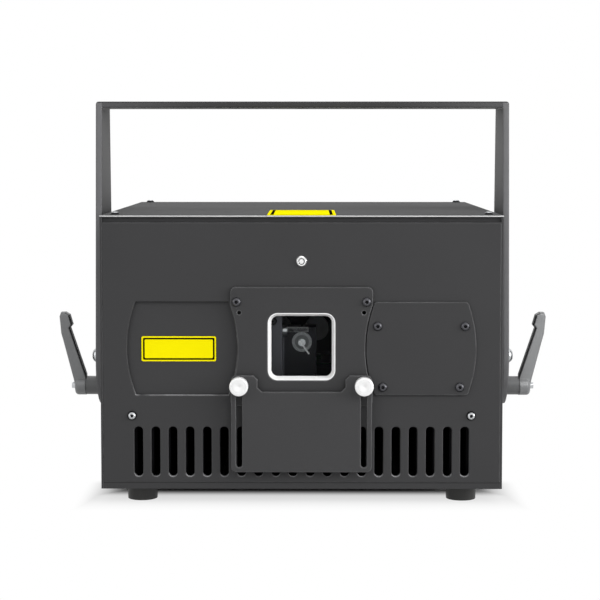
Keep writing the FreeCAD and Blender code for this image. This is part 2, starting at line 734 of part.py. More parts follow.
def foot_places():
    """Axes of the four feet."""
    x = half_width - size.foot_side_inset
    y = back - size.foot_end_inset
    return [(x * i, y * j) for i in (-1, 1) for j in (-1, 1)]


def make_feet():
    """Tapered rubber feet with a counterbore for their screws."""
    seat = size.screw_head_radius + size.play
    foot = turned("foot", [
        (screw_hole, size.foot_seat),
        (seat, size.foot_seat),
        (seat, 0),
        (size.foot_sole_radius, 0),
        (size.foot_radius, size.foot_height),
        (screw_hole, size.foot_height),
    ])
    keep(copies("feet", foot, [((x, y, 0), "+Z") for x, y in foot_places()]), "rubber_feet")


def top_screw_places():
    """Points on the top cover where its screws sit."""
    rows = (front + size.top_screw_front, back - size.top_screw_rear)
    return [((half_width - size.top_screw_inset) * side, y) for side in (-1, 1) for y in rows]


def eased_strip(inner, outer, side):
    """Points of a strip along Y whose two outer corners are rounded."""
    ease = size.wall_edge
    if side > 0:
        return [
            (inner, front),
            (outer - ease, front, ease),
            (outer, front + ease),
            (outer, back - ease, ease),
            (outer - ease, back),
            (inner, back),
        ]
    return [
        (outer + ease, front),
        (inner, front),
        (inner, back),
        (outer + ease, back, ease),
        (outer, back - ease),
        (outer, front + ease, ease),
    ]


def make_side_panels():
    """Side panels with an inward flange along the top that carries the cover."""
    along = (front + size.band_setback + size.sheet, back - size.band_setback - size.sheet)
    for name, side, facing in SIDES:
        outer = (inner_half, half_width) if side > 0 else (-half_width, -inner_half)
        ledge = (inner_half - size.cover_flange, inner_half)
        if side < 0:
            ledge = (-inner_half, -inner_half + size.cover_flange)
        wall = plate(f"{name}_wall", "XY_Plane", size.foot_height, cover_under - size.foot_height,
                     [eased_strip(side * inner_half, side * half_width, side)])
        shelf = block(f"{name}_shelf", ledge, along, (cover_under - size.sheet, cover_under))
        start = outer[0]
        holes = [
            rod(f"{name}_pivot_hole", (start, 0, pivot_height), "+X", pivot_hole, size.sheet),
            rod(f"{name}_clamp_hole", (start, 0, clamp_height), "+X", stud_hole, size.sheet),
        ]
        for number, (x, y) in enumerate(top_screw_places(), 1):
            if (x.number > 0) == (side > 0):
                at = (x, y, cover_under - size.sheet)
                holes.append(rod(f"{name}_shelf_hole_{number}", at, "+Z", screw_hole, size.sheet))
        panel = cut(f"{name}_panel", fuse(f"{name}_fold", [wall, shelf]), holes)
        keep(panel, f"{name}_side_panel")


def make_top_cover():
    """Flat cover with a set-back band folded down at the front and the rear."""
    ease = size.wall_edge
    profile = [
        (front, cover_under),
        (back, cover_under),
        (back, case_top - ease, ease),
        (back - ease, case_top),
        (front + ease, case_top, ease),
        (front, case_top - ease),
    ]
    pieces = [plate("cover_sheet", "YZ_Plane", -half_width, size.body_width, [profile])]
    starts = (front + size.band_setback, back - size.band_setback - size.sheet)
    for number, start in enumerate(starts, 1):
        height = (panel_high, cover_under)
        along = (start, start + size.sheet)
        pieces.append(block(f"cover_band_{number}", (-inner_half, inner_half), along, height))
    holes = [
        rod(f"cover_hole_{number}", (x, y, cover_under), "+Z", screw_hole, size.top_sheet)
        for number, (x, y) in enumerate(top_screw_places(), 1)
    ]
    keep(cut("cover", fuse("cover_fold", pieces), holes), "top_cover")


barrel_radius = barrel_height * barrel_height / (size.barrel_bulge * 8) + size.barrel_bulge / 2


def barrel(u):
    """Points of a barrel shape: flat top and bottom, sides bulging as arcs."""
    low, high = span(barrel_level, barrel_height)
    left, right = span(u, barrel_flat)
    return [(left, low), (right, low, barrel_radius), (right, high), (left, high, barrel_radius)]


def cover_screw_places():
    """Screws of the access cover."""
    low, high = span(barrel_level, barrel_height)
    rows = (
        (barrel_flat / 2 - size.cover_screw_top, high - size.cover_screw_top_drop),
        (barrel_flat / 2 - size.cover_screw_low, low + size.cover_screw_low_rise),
    )
    return [(barrel_middle + side * offset, height) for side in (-1, 1) for offset, height in rows]


def aperture_screw_places():
    """Screws of the aperture plate."""
    height = plate_high - size.aperture_screw_drop
    return [(side * size.aperture_screw_offset, height) for side in (-1, 1)]


def thumb_places():
    """Axes of the two thumb screws."""
    return [(side * size.thumb_offset, thumb_height) for side in (-1, 1)]


def spare_places():
    """Upper tapped holes in the aperture plate."""
    return [(side * size.thumb_offset, plate_high - size.spare_hole_drop) for side in (-1, 1)]


def deck_screw_places():
    """Screws through the front and rear panel into the deck's edges."""
    height = above(size.deck_rise)
    return [(side * (half_width - size.deck_screw_inset), height) for side in (-1, 1)]


def square(width, corner):
    """Points of a rounded square about the window's axis."""
    return rounded(span(measure(0), width), span(window_height, width), corner)


def round_front(body, face, keeps=lambda middle: True):
    """Ease the front face's outline, leaving its round holes sharp."""
    level = face.number
    round_edges(
        body,
        body.Name + "_edges",
        size.plate_edge,
        lambda edge, middle: abs(middle.y - level) < 0.001 and not edge.isClosed() and keeps(middle),
    )


def in_vents_or_recess(middle):
    """True for a point on the outline of a vent slot or of the left recess."""
    vent_top = above(size.vent_rise).number + size.vent_length.number
    if panel_low.number + size.plate_edge.number < middle.z < vent_top:
        return True
    reach = barrel_height.number / 2 + size.seat_gap.number
    return middle.x < -size.barrel_inner.number and abs(middle.z - barrel_level.number) < reach


def make_front_panel():
    """Front panel with window, recess, access opening, screw holes and a row of vent slots."""
    opening = size.bezel_outer + 2 * size.seat_gap
    access = rounded(
        span(barrel_middle, barrel_flat - 2 * size.access_side),
        span(barrel_level, barrel_height - 2 * size.access_edge),
        size.barrel_corner,
    )
    holes = cover_screw_places() + aperture_screw_places() + deck_screw_places() + thumb_places()
    circles = [(x, z, screw_hole) for x, z in holes]
    circles += [(x, z, screw_hole) for x, z in spare_places()]
    circles.append((measure(0), lamp_height, size.lamp_barrel + size.seat_gap))
    loops = [
        rectangle((-inner_half, inner_half), (panel_low, panel_high)),
        square(opening, size.bezel_corner),
        barrel(-barrel_middle),
        access,
    ]
    body = plate("front_sheet_body", "XZ_Plane", -front_inside, size.front_sheet, loops, circles)
    first = size.vent_margin - half_width
    pitch = -2 * first / (size.vent_count - 1)
    vent = slot(first, above(size.vent_rise), size.vent_width, size.vent_length)
    cutout = pocket(body, "vent", "XZ_Plane", -front, size.front_sheet, [vent])
    row_of(body, "vent_row", cutout, "H_Axis", pitch, size.vent_count)
    round_front(body, front, in_vents_or_recess)
    keep(body, "front_panel")


def make_recess_and_cover():
    """Blanking plate behind the left recess, access cover on the right, and the marker plates."""
    margin = size.barrel_bulge + size.blank_margin
    across = span(-barrel_middle, barrel_flat + 2 * margin)
    up = span(barrel_level, barrel_height + 2 * size.blank_margin)
    blank = plate("blank", "XZ_Plane", -front_inside - size.blank_thickness, size.blank_thickness,
                  [rectangle(across, up)])
    keep(blank, "blanking_plate")
    circles = [(x, z, screw_hole) for x, z in cover_screw_places()]
    cover = plate("access", "XZ_Plane", -front, size.cover_thickness, [barrel(barrel_middle)], circles)
    round_edges(cover, "access_corners", size.barrel_corner, lambda edge, middle: is_upright(edge, "y"))
    round_front(cover, front - size.cover_thickness)
    keep(cover, "access_cover")
    width = span(-barrel_middle - size.marker_shift, barrel_flat - 2 * size.marker_side)
    height = span(barrel_level - size.marker_drop, size.marker_height)
    corner, sheet = size.marker_corner, size.marker_thickness
    marker = plate("front_marker", "XZ_Plane", -front_inside, sheet, [rectangle(width, height)])
    round_edges(marker, "front_marker_corners", corner, lambda edge, middle: is_upright(edge, "y"))
    start = front + size.top_marker_inset
    outline = rectangle(span(measure(0), size.top_marker_width), (start, start + size.top_marker_depth))
    top = plate("top_marker", "XY_Plane", case_top, sheet, [outline])
    round_edges(top, "top_marker_corners", corner, lambda edge, middle: is_upright(edge, "z"))
    keep(group("markers", [marker, top]), "marker_plates")


def make_aperture():
    """Aperture plate with waisted sides, its bevelled bezel and the glass behind."""
    waist = barrel_radius + size.plate_gap
    arc_centre = size.barrel_inner + barrel_radius
    offset = arc_centre - size.aperture_half
    reach = root(waist * waist - offset * offset)
    middle = barrel_level
    low, high = plate_low, plate_high
    half = size.aperture_half
    outline = [
        (-half, low),
        (half, low),
        (half, middle - reach, -waist),
        (half, middle + reach),
        (half, high),
        (-half, high),
        (-half, middle + reach, -waist),
        (-half, middle - reach),
    ]
    circles = [(x, z, screw_hole) for x, z in aperture_screw_places() + thumb_places()]
    circles += [(x, z, size.tap_radius) for x, z in spare_places()]
    opening = square(size.bezel_outer + 2 * size.seat_gap, size.bezel_corner)
    body = plate("aperture", "XZ_Plane", -front, size.aperture_thickness, [outline, opening], circles)
    reach_limit = half.number - 0.01
    round_edges(
        body,
        "aperture_corners",
        size.aperture_corner,
        lambda edge, middle: is_upright(edge, "y") and abs(middle.x) > reach_limit
        and (abs(middle.z - low.number) < 0.01 or abs(middle.z - high.number) < 0.01),
    )
    clear = size.bezel_outer.number / 2 + 1
    middle_z = window_height.number
    round_front(body, plate_face, lambda middle: max(abs(middle.x), abs(middle.z - middle_z)) > clear)
    keep(body, "aperture_plate")

    depth = size.aperture_thickness + size.front_sheet
    wall = (size.bezel_outer - size.bezel_inner) / 2
    inner = square(size.bezel_inner, size.bezel_corner - wall)
    outer = square(size.bezel_outer, size.bezel_corner)
    bezel = plate("bezel", "XZ_Plane", -front_inside, depth, [outer, inner])
    doc.recompute()
    base = bezel.Tip
    limit = size.bezel_inner.number / 2 + 0.01
    picked = []
    for number, edge in enumerate(base.Shape.Edges, 1):
        box = edge.BoundBox
        inside = max(abs(box.XMin), abs(box.XMax)) < limit
        level = max(abs(box.ZMin - window_height.number), abs(box.ZMax - window_height.number))
        if inside and level < limit and box.YMax < plate_face.number + 0.01:
            picked.append(f"Edge{number}")
    bevel = bezel.newObject("PartDesign::Chamfer", "bezel_bevel")
    bevel.Base = (base, picked)
    bevel.ChamferType = "Two distances"
    bind(bevel, "Size", size.bezel_bevel_depth)
    bind(bevel, "Size2", size.bezel_bevel_width)
    doc.recompute()
    keep(bezel, "aperture_bezel")

    across = span(measure(0), size.glass_size)
    up = span(window_height, size.glass_size)
    keep(block("glass", across, (front_inside, front_inside + size.glass_thickness), up), "window_glass")


def make_shutter():
    """Shutter plate with its top notch and two slots, the washers behind it and the thumb screws."""
    half, notch, slope = size.shutter_half, size.notch_half, size.notch_slope
    low, high = above(size.shutter_low), thumb_height + size.shutter_over
    sill = high - size.notch_depth
    outline = [
        (-half, low),
        (half, low),
        (half, high),
        (notch + slope, high),
        (notch, high - slope),
        (notch, sill + slope),
        (notch - slope, sill),
        (slope - notch, sill),
        (-notch, sill + slope),
        (-notch, high - slope),
        (-notch - slope, high),
        (-half, high),
    ]
    slot_high = thumb_height + size.shutter_slot_width / 2 + size.play
    slot_low = above(size.shutter_slot_low)
    corner = (size.shutter_slot_width - size.slot_flat) / 2
    loops = [outline]
    for x, z in thumb_places():
        loops.append(rounded(span(x, size.shutter_slot_width), (slot_low, slot_high), corner))
    body = plate("shutter", "XZ_Plane", -shutter_back, size.shutter_thickness, loops)
    round_edges(
        body,
        "shutter_corners",
        size.shutter_corner,
        lambda edge, middle: is_upright(edge, "y") and abs(abs(middle.x) - half.number) < 0.01,
    )
    round_front(body, shutter_face)
    keep(body, "shutter_plate")

    bore = size.screw_radius + size.running_gap
    washer = turned("washer", [
        (bore, 0),
        (size.spacer_radius, 0),
        (size.spacer_radius, size.spacer_height),
        (bore, size.spacer_height),
    ])
    places = [((x, plate_face, z), "-Y") for x, z in thumb_places()]
    keep(copies("shutter_washers", washer, places), "shutter_spacers")

    reach = front_inside - shutter_face + size.play
    edge, head = size.thumb_edge, size.thumb_radius
    for name, (x, z) in zip(("left", "right"), thumb_places()):
        thumb = turned(f"{name}_thumb", [
            (0, -reach),
            (size.screw_radius, -reach),
            (size.screw_radius, 0),
            (head - edge, 0),
            (head, edge),
            (head, size.thumb_length - edge),
            (head - edge, size.thumb_length),
            (0, size.thumb_length),
        ])
        place(thumb, (x, shutter_face - size.play, z), "-Y")
        keep(thumb, f"{name}_thumb_screw")


def make_lamp():
    """Emission lamp: a chrome bezel pressed into the front panel, with a domed lens."""
    bore, barrel_wall = size.lamp_bore, size.lamp_barrel
    bezel = turned("lamp_bezel", [
        (bore, -size.lamp_length),
        (barrel_wall, -size.lamp_length),
        (barrel_wall, 0),
        (size.lamp_radius, 0),
        (size.lamp_radius, size.lamp_proud * 0.5),
        (barrel_wall, size.lamp_proud),
        (bore, size.lamp_proud),
    ])
    at = (measure(0), front, lamp_height)
    keep(place(bezel, at, "-Y"), "emission_bezel")
    glow = bore - size.running_gap
    lens = turned("lamp_lens", [
        (0, -size.lamp_length),
        (glow, -size.lamp_length),
        (glow, size.lamp_proud * 0.3),
        (glow * 0.7, size.lamp_proud * 0.7),
        (0, size.lamp_proud * 0.7),
    ])
    keep(place(lens, at, "-Y"), "emission_lens")


def make_case_screws():
    """Button head screws: silver ones in the case, black ones in the front plates."""
    silver = button_screw(
        "case_screw", size.screw_head_radius, size.screw_head_height, size.screw_radius, size.screw_length,
        size.screw_socket, size.screw_socket_depth,
    )
    places = [((x, front, z), "-Y") for x, z in deck_screw_places()]
    places += [((x, back, z), "+Y") for x, z in deck_screw_places()]
    places += [((x, y, case_top), "+Z") for x, y in top_screw_places()]
    places += [((x, y, size.foot_seat), "-Z") for x, y in foot_places()]
    keep(copies("silver_screws", silver, places), "case_screws")
    black = button_screw(
        "plate_screw", size.screw_head_radius, size.screw_head_height, size.screw_radius,
        size.aperture_thickness + size.front_sheet, size.screw_socket, size.screw_socket_depth,
    )
    places = [((x, plate_face, z), "-Y") for x, z in aperture_screw_places()]
    places += [((x, front - size.cover_thickness, z), "-Y") for x, z in cover_screw_places()]
    block_face = front + size.scan_plane - size.scan_motor_radius - size.block_wall
    places.append(((-size.block_screw_offset, block_face, scan_y_level + size.block_screw_rise), "-Y"))
    keep(copies("black_screws", black, places), "plate_screws")


def make_bracket():
    """U bracket: tapered arms with round ends, pivot holes and arc slots, and a bar with rigging holes."""
    body = doc.addObject("PartDesign::Body", "bracket_body")
    bar_under = bracket_top - size.bracket_thickness
    half, end = size.arm_half_top, size.arm_end_radius
    arm = sketch_on(body, "arm_outline", "YZ_Plane", arm_inner)
    draw_loop(arm, [(-end, pivot_height), (end, pivot_height), (half, bracket_top), (-half, bracket_top)])
    arm_pad = body.newObject("PartDesign::Pad", "arm_pad")
    arm_pad.Profile = arm
    bind(arm_pad, "Length", size.bracket_thickness)
    eye = sketch_on(body, "end_outline", "YZ_Plane", arm_inner)
    draw_circle(eye, 0, pivot_height, end)
    eye_pad = body.newObject("PartDesign::Pad", "end_pad")
    eye_pad.Profile = eye
    bind(eye_pad, "Length", size.bracket_thickness)

    width = size.stud_radius + size.slot_side_gap
    outer, inner = size.clamp_drop + width, size.clamp_drop - width
    turn = size.tilt_limit + 10
    reach, drop = sine(turn), cosine(turn)
    sweep = [
        (-reach * outer, pivot_height - drop * outer, outer),
        (reach * outer, pivot_height - drop * outer),
        (reach * inner, pivot_height - drop * inner, -inner),
        (-reach * inner, pivot_height - drop * inner),
    ]
    hole = size.spigot_radius + size.running_gap
    hollow = pocket(body, "arm_hollows", "YZ_Plane", arm_outer, size.bracket_thickness, [sweep],
                    [(measure(0), pivot_height, hole)])
    mirrored = body.newObject("PartDesign::Mirrored", "other_arm")
    mirrored.Originals = [arm_pad, eye_pad, hollow]
    middle_plane = next(item for item in body.Origin.OriginFeatures if item.Role == "YZ_Plane")
    mirrored.MirrorPlane = (middle_plane, [""])
    body.Tip = mirrored
    doc.recompute()
    bar = sketch_on(body, "bar_outline", "XY_Plane", bar_under)
    draw_loop(bar, rectangle((-arm_outer, arm_outer), (-half, half)))
    draw_circle(bar, 0, 0, size.rig_hole_radius)
    for side in (-1, 1):
        draw_circle(bar, side * size.rig_side_offset, 0, size.rig_side_radius)
    bar_pad = body.newObject("PartDesign::Pad", "bar_pad")
    bar_pad.Profile = bar
    bind(bar_pad, "Length", size.bracket_thickness)
    body.Tip = bar_pad
    round_edges(
        body,
        "bracket_bends",
        size.bracket_bend,
        lambda edge, middle: is_upright(edge, "y") and abs(abs(middle.x) - arm_outer.number) < 0.01
        and abs(middle.z - bracket_top.number) < 0.01,
    )
    keep(body, "bracket")


def make_pivots():
    """What the bracket turns on: spacers with a spigot, flanged screws and threaded backing plates."""
    length = size.bracket_gap - size.play
    spigot = length + size.bracket_thickness + 2 * size.play
    spacer = turned("pivot_spacer", [
        (pivot_hole, 0),
        (size.pivot_spacer_radius, 0),
        (size.pivot_spacer_radius, length),
        (size.spigot_radius, length),
        (size.spigot_radius, spigot),
        (pivot_hole, spigot),
    ])
    places = [((side * half_width, 0, pivot_height), facing) for name, side, facing in SIDES]
    keep(copies("pivot_sleeves", spacer, places), "pivot_spacers")

    sleeve = turned("clamp_spacer", [
        (stud_hole, 0),
        (size.clamp_spacer_radius, 0),
        (size.clamp_spacer_radius, length),
        (stud_hole, length),
    ])
    places = [((side * half_width, 0, clamp_height), facing) for name, side, facing in SIDES]
    keep(copies("clamp_sleeves", sleeve, places), "clamp_spacers")

    shank = spigot + size.sheet + size.backing_thickness
    screw = button_screw(
        "pivot_screw", size.pivot_head_radius, size.pivot_head_height, size.pivot_shank, shank,
        size.pivot_socket, size.pivot_socket_depth,
        (size.pivot_flange_radius, size.pivot_flange_height, size.pivot_head_skirt),
    )
    start = half_width + spigot
    places = [((side * start, 0, pivot_height), facing) for name, side, facing in SIDES]
    keep(copies("pivot_bolts", screw, places), "pivot_screws")

    plates = []
    for name, side, facing in SIDES:
        across = (inner_half - size.backing_thickness, inner_half)
        if side < 0:
            across = (-inner_half, -inner_half + size.backing_thickness)
        height = (clamp_height - size.backing_margin, pivot_height + size.backing_margin)
        slab = block(f"{name}_slab", across, (-size.backing_half, size.backing_half), height)
        bores = ((pivot_height, pivot_hole), (clamp_height, stud_hole))
        holes = [
            rod(f"{name}_slab_hole_{number}", (across[0], 0, level), "+X", radius, size.backing_thickness)
            for number, (level, radius) in enumerate(bores, 1)
        ]
        plates.append(cut(f"{name}_backing", slab, holes))
    keep(group("backings", plates), "backing_plates")


def make_levers():
    """Clamp levers: a stud with a collar and a toothed end, a handle that slides on it, a retaining screw."""
    collar, teeth_end = size.collar_length, size.collar_length + size.teeth_length
    shank = arm_outer + size.play - inner_half + size.backing_thickness
    thread = size.keeper_radius + size.running_gap
    hub_start = collar + size.play
    hub_end = hub_start + size.lever_hub_length
    web_start = teeth_end + size.play
    web_end = web_start + size.lever_web
    for name, side, facing in SIDES:
        start = side * (arm_outer + size.play)
        axis = (start, measure(0), clamp_height)
        stud = turned(f"{name}_stud", [
            (0, -shank),
            (size.stud_radius, -shank),
            (size.stud_radius, 0),
            (size.collar_radius, 0),
            (size.collar_radius, collar),
            (size.teeth_radius, collar),
            (size.teeth_radius, teeth_end),
            (thread, teeth_end),
            (thread, teeth_end - size.keeper_thread),
            (0, teeth_end - size.keeper_thread),
        ])
        keep(place(stud, axis, facing), f"{name}_lever_stud")

        def along(height):
            return (start + side * height, measure(0), clamp_height)

        def profile(reach, rise):
            return (start + side * reach, clamp_height + rise)

        hub = turned(f"{name}_hub", [
            (0, 0),
            (size.lever_hub_radius, 0),
            (size.lever_hub_radius, size.lever_hub_length - size.lever_hub_edge, size.lever_hub_edge),
            (size.lever_hub_radius - size.lever_hub_edge, size.lever_hub_length),
            (0, size.lever_hub_length),
        ])
        place(hub, along(hub_start), facing)
        outline = [
            profile(hub_start, 0),
            profile(hub_end, 0),
            profile(size.grip_root_reach, size.grip_root_rise),
            profile(size.grip_knee_reach, size.grip_knee_rise),
            profile(size.grip_bend_reach, size.grip_bend_rise),
            profile(size.grip_shoulder_reach, size.grip_shoulder_rise),
            profile(size.grip_tip_outer, size.grip_tip_rise),
            profile(size.grip_tip_inner, size.grip_tip_rise),
            profile(size.grip_pad_top_reach, size.grip_pad_top_rise),
            profile(size.grip_pad_reach, size.grip_pad_rise),
            profile(size.grip_neck_reach, size.grip_neck_rise),
            profile(hub_start, size.grip_heel_rise),
        ]
        grip = plate(f"{name}_grip", "XZ_Plane", -size.grip_thickness / 2, size.grip_thickness, [outline])
        rounding = size.grip_thickness.number / 2 - 0.01
        level = clamp_height.number + size.lever_hub_radius.number
        round_edges(
            grip,
            f"{name}_grip_edges",
            size.grip_edge,
            lambda edge, middle: abs(middle.y) > rounding and middle.z > level,
        )
        mesh_radius = size.teeth_radius + size.seat_gap
        hollows = [
            rod(f"{name}_mesh", along(hub_start), facing, mesh_radius, web_start - hub_start),
            rod(f"{name}_web_hole", along(web_start), facing, size.keeper_radius + size.play, size.lever_web),
            rod(f"{name}_recess", along(web_end), facing, size.keeper_recess, size.grip_root_reach - web_end),
        ]
        handle = cut(f"{name}_handle", fuse(f"{name}_casting", [hub, grip]), hollows)
        keep(handle, f"{name}_lever_handle")

        head_start = hub_end + size.play
        length = head_start - teeth_end + size.keeper_thread
        keeper = turned(f"{name}_keeper", [
            (0, -length),
            (size.keeper_radius, -length),
            (size.keeper_radius, 0),
            (size.keeper_head_radius, 0),
            (size.keeper_head_radius, size.keeper_head_height),
            (0, size.keeper_head_height),
        ])
        pocket(keeper, f"{name}_keeper_socket", "XY_Plane", size.keeper_head_height, size.screw_socket_depth,
               [hexagon(size.screw_socket)])
        keep(place(keeper, along(head_start), facing), f"{name}_lever_screw")


def make_deck():
    """Optical deck across the case, and the finned heat sink that carries it behind the vents."""
    slab = block("deck_slab", (-deck_half, deck_half), (front_inside, back_inside), (deck_low, deck_top))
    depth = size.screw_length
    holes = []
    for number, (x, z) in enumerate(deck_screw_places(), 1):
        holes.append(rod(f"deck_front_hole_{number}", (x, front_inside, z), "+Y", screw_hole, depth))
        holes.append(rod(f"deck_rear_hole_{number}", (x, back_inside, z), "-Y", screw_hole, depth))
    keep(cut("deck", slab, holes), "optical_deck")

    along = (front + size.sink_front, back - size.sink_rear)
    base_low = deck_low - size.sink_base
    pieces = [block("sink_base_slab", (-sink_half, sink_half), along, (base_low, deck_low))]
    count = int(size.fin_count.number)
    pitch = (2 * sink_half - size.fin_thickness) / (size.fin_count - 1)
    for number in range(count):
        left = -sink_half + pitch * number
        low = floor_top if number in (0, count - 1) else floor_top + size.fin_clear
        pieces.append(block(f"fin_{number}", (left, left + size.fin_thickness), along, (low, base_low)))
    keep(fuse("sink", pieces), "heat_sink")


def make_fans():
    """Two fans behind the rear panel: square frames with a motor seat, and bladed rotors."""
    height = above(size.fan_rise)
    half = size.fan_size / 2
    start = back_inside - size.fan_depth
    blade_depth = size.fan_depth - size.fan_spider - 2 * size.play
    frames = []
    for name, side, facing in SIDES:
        x = side * size.fan_offset
        wide, tall = (x - half, x + half), (height - half, height + half)
        square_frame = block(f"{name}_fan_square", wide, (start, back_inside), tall)
        opening = rod(f"{name}_fan_opening", (x, start, height), "+Y", size.fan_bore, size.fan_depth)
        ring = cut(f"{name}_fan_ring", square_frame, [opening])
        bar = size.fan_hub_radius * 0.4
        seat_depth = (start, start + size.fan_spider)
        seat = [
            rod(f"{name}_fan_seat", (x, start, height), "+Y", size.fan_hub_radius, size.fan_spider),
            block(f"{name}_fan_bar_x", wide, seat_depth, span(height, bar)),
            block(f"{name}_fan_bar_z", span(x, bar), seat_depth, tall),
        ]
        bore = size.fan_shaft + size.running_gap
        bearing = rod(f"{name}_fan_bearing", (x, start, height), "+Y", bore, size.fan_spider)
        frames.append(cut(f"{name}_fan_frame", fuse(f"{name}_fan_cast", [ring, *seat]), [bearing]))

        hub_start = start + size.fan_spider + size.play
        pieces = [
            rod(f"{name}_rotor_hub", (x, hub_start, height), "+Y", size.fan_hub_radius, blade_depth),
            rod(f"{name}_rotor_shaft", (x, start, height), "+Y", size.fan_shaft, size.fan_spider + size.play),
        ]
        limit = rod(f"{name}_rotor_limit", (x, hub_start, height), "+Y", size.fan_blade_tip, blade_depth)
        count = int(size.fan_blade_count.number)
        blades = []
        for number in range(count):
            blade = doc.addObject("Part::Box", f"{name}_blade_{number}")
            bind(blade, "Length", size.fan_blade_thickness)
            bind(blade, "Width", size.fan_depth * 2)
            bind(blade, "Height", size.fan_blade_tip)
            pitch = FreeCAD.Rotation(FreeCAD.Vector(0, 0, 1), size.fan_blade_turn.number)
            around = FreeCAD.Rotation(FreeCAD.Vector(0, 1, 0), 360 / count * number)
            shift = FreeCAD.Vector(-size.fan_blade_thickness.number / 2, -size.fan_depth.number, 0)
            middle = hub_start + blade_depth / 2
            place(blade, (x, middle, height))
            turn = around.multiply(pitch)
            blade.Placement.Rotation = turn
            offset = turn.multVec(shift)
            for letter, amount, step in zip("xyz", (x, middle, height), offset):
                bind(blade, f"Placement.Base.{letter}", amount + step)
            blades.append(blade)
        blades_cut = doc.addObject("Part::Common", f"{name}_blades")
        blades_cut.Base = fuse(f"{name}_blade_set", blades)
        blades_cut.Tool = limit
        keep(fuse(f"{name}_rotor", [*pieces, blades_cut]), f"{name}_fan_rotor")
    keep(group("frames", frames), "fan_frames")


def make_scanner():
    """Scanner block, two motors, and the shafts with their mirrors as they rest."""
    scan_y = front + size.scan_plane
    level_x, level_y = scan_x_level, scan_y_level
    radius, wall = size.scan_motor_radius, size.block_wall
    bore = radius + size.running_gap
    outside = radius + wall
    face_y = scan_y + size.motor_front
    left_end = -size.motor_start - size.block_depth
    left = block("scan_left_block", (left_end, -size.motor_start), (scan_y - outside, scan_y + outside),
                 (deck_top, level_y + outside))
    rear = block("scan_rear_block", (-size.motor_start, outside), (face_y, face_y + size.block_depth),
                 (deck_top, level_x + outside))
    screw_at = (-size.block_screw_offset, scan_y - outside, level_y + size.block_screw_rise)
    holes = [
        rod("scan_left_bore", (-size.motor_start, scan_y, level_y), "-X", bore, size.block_depth),
        rod("scan_rear_bore", (measure(0), face_y, level_x), "+Y", bore, size.block_depth),
        block("scan_rear_slit", span(measure(0), size.block_slit), (face_y, face_y + size.block_depth),
              (level_x, level_x + outside)),
        rod("scan_screw_hole", screw_at, "+Y", screw_hole, size.aperture_thickness + size.front_sheet),
    ]
    keep(cut("scan_block", fuse("scan_casting", [left, rear]), holes), "scanner_block")

    shaft_bore = size.scan_shaft_radius + size.running_gap
    motor = turned("scan_motor", [
        (shaft_bore, 0),
        (radius, 0),
        (radius, size.scan_motor_length),
        (shaft_bore, size.scan_motor_length),
    ])
    pairs = (
        ("x", (measure(0), face_y, level_x), "+Y"),
        ("y", (-size.motor_start, scan_y, level_y), "-X"),
    )
    for name, at, facing in pairs:
        stator = group(f"{name}_stator", [place_link(f"{name}_stator_link", motor, at, facing)])
        keep(stator, f"{name}_galvo_motor")

    clamp = size.scan_clamp_length
    shaft = size.scan_shaft_radius
    thick = size.mirror_thickness
    front_clamp = face_y - size.play - clamp
    middle_x = measure(0)
    shafts = (
        ("x", (middle_x, face_y + size.scan_motor_length, level_x), "-Y",
         (middle_x, front_clamp, level_x), "+Y"),
        ("y", (-size.motor_start - size.scan_motor_length, scan_y, level_y), "+X",
         (-size.motor_start + size.play, scan_y, level_y), "+X"),
    )
    for name, at, facing, clamp_at, clamp_facing in shafts:
        length = size.scan_motor_length + size.play + clamp / 2
        pin = rod(f"{name}_pin", at, facing, shaft, length)
        grip = size.scan_clamp_radius if name == "x" else size.scan_disc_radius
        jaw = rod(f"{name}_jaw", clamp_at, clamp_facing, grip, clamp)
        keep(fuse(f"{name}_spindle", [pin, jaw]), f"{name}_scan_shaft")

    mirror_x = doc.addObject("Part::Box", "x_mirror")
    bind(mirror_x, "Length", size.mirror_x_width)
    bind(mirror_x, "Width", size.mirror_x_length)
    bind(mirror_x, "Height", thick)
    turn = size.mirror_x_turn
    mirror_x.Placement.Rotation = FreeCAD.Rotation(FreeCAD.Vector(0, 1, 0), turn.number)
    bind(mirror_x, "Placement.Rotation.Angle", turn)
    half, lift = size.mirror_x_width / 2 - size.mirror_x_shift, thick / 2
    bind(mirror_x, "Placement.Base.x", -half * cosine(turn) - lift * sine(turn))
    bind(mirror_x, "Placement.Base.y", front_clamp - size.mirror_x_length)
    bind(mirror_x, "Placement.Base.z", level_x + half * sine(turn) - lift * cosine(turn))
    keep(mirror_x, "x_scan_mirror")

    mirror_y = doc.addObject("Part::Box", "y_mirror")
    bind(mirror_y, "Length", size.mirror_y_length)
    bind(mirror_y, "Width", size.mirror_y_width)
    bind(mirror_y, "Height", thick)
    turn = size.mirror_y_turn
    mirror_y.Placement.Rotation = FreeCAD.Rotation(FreeCAD.Vector(-1, 0, 0), turn.number)
    bind(mirror_y, "Placement.Rotation.Angle", turn)
    half = size.mirror_y_width / 2
    bind(mirror_y, "Placement.Base.x", -size.motor_start + size.play + clamp)
    bind(mirror_y, "Placement.Base.y", scan_y - half * cosine(turn) - lift * sine(turn))
    bind(mirror_y, "Placement.Base.z", level_y + half * sine(turn) - lift * cosine(turn))
    keep(mirror_y, "y_scan_mirror")


def place_link(name, source, at, facing):
    """One more copy of a shape at a point."""
    link = doc.addObject("App::Link", name)
    link.LinkedObject = source
    return place(link, at, facing)


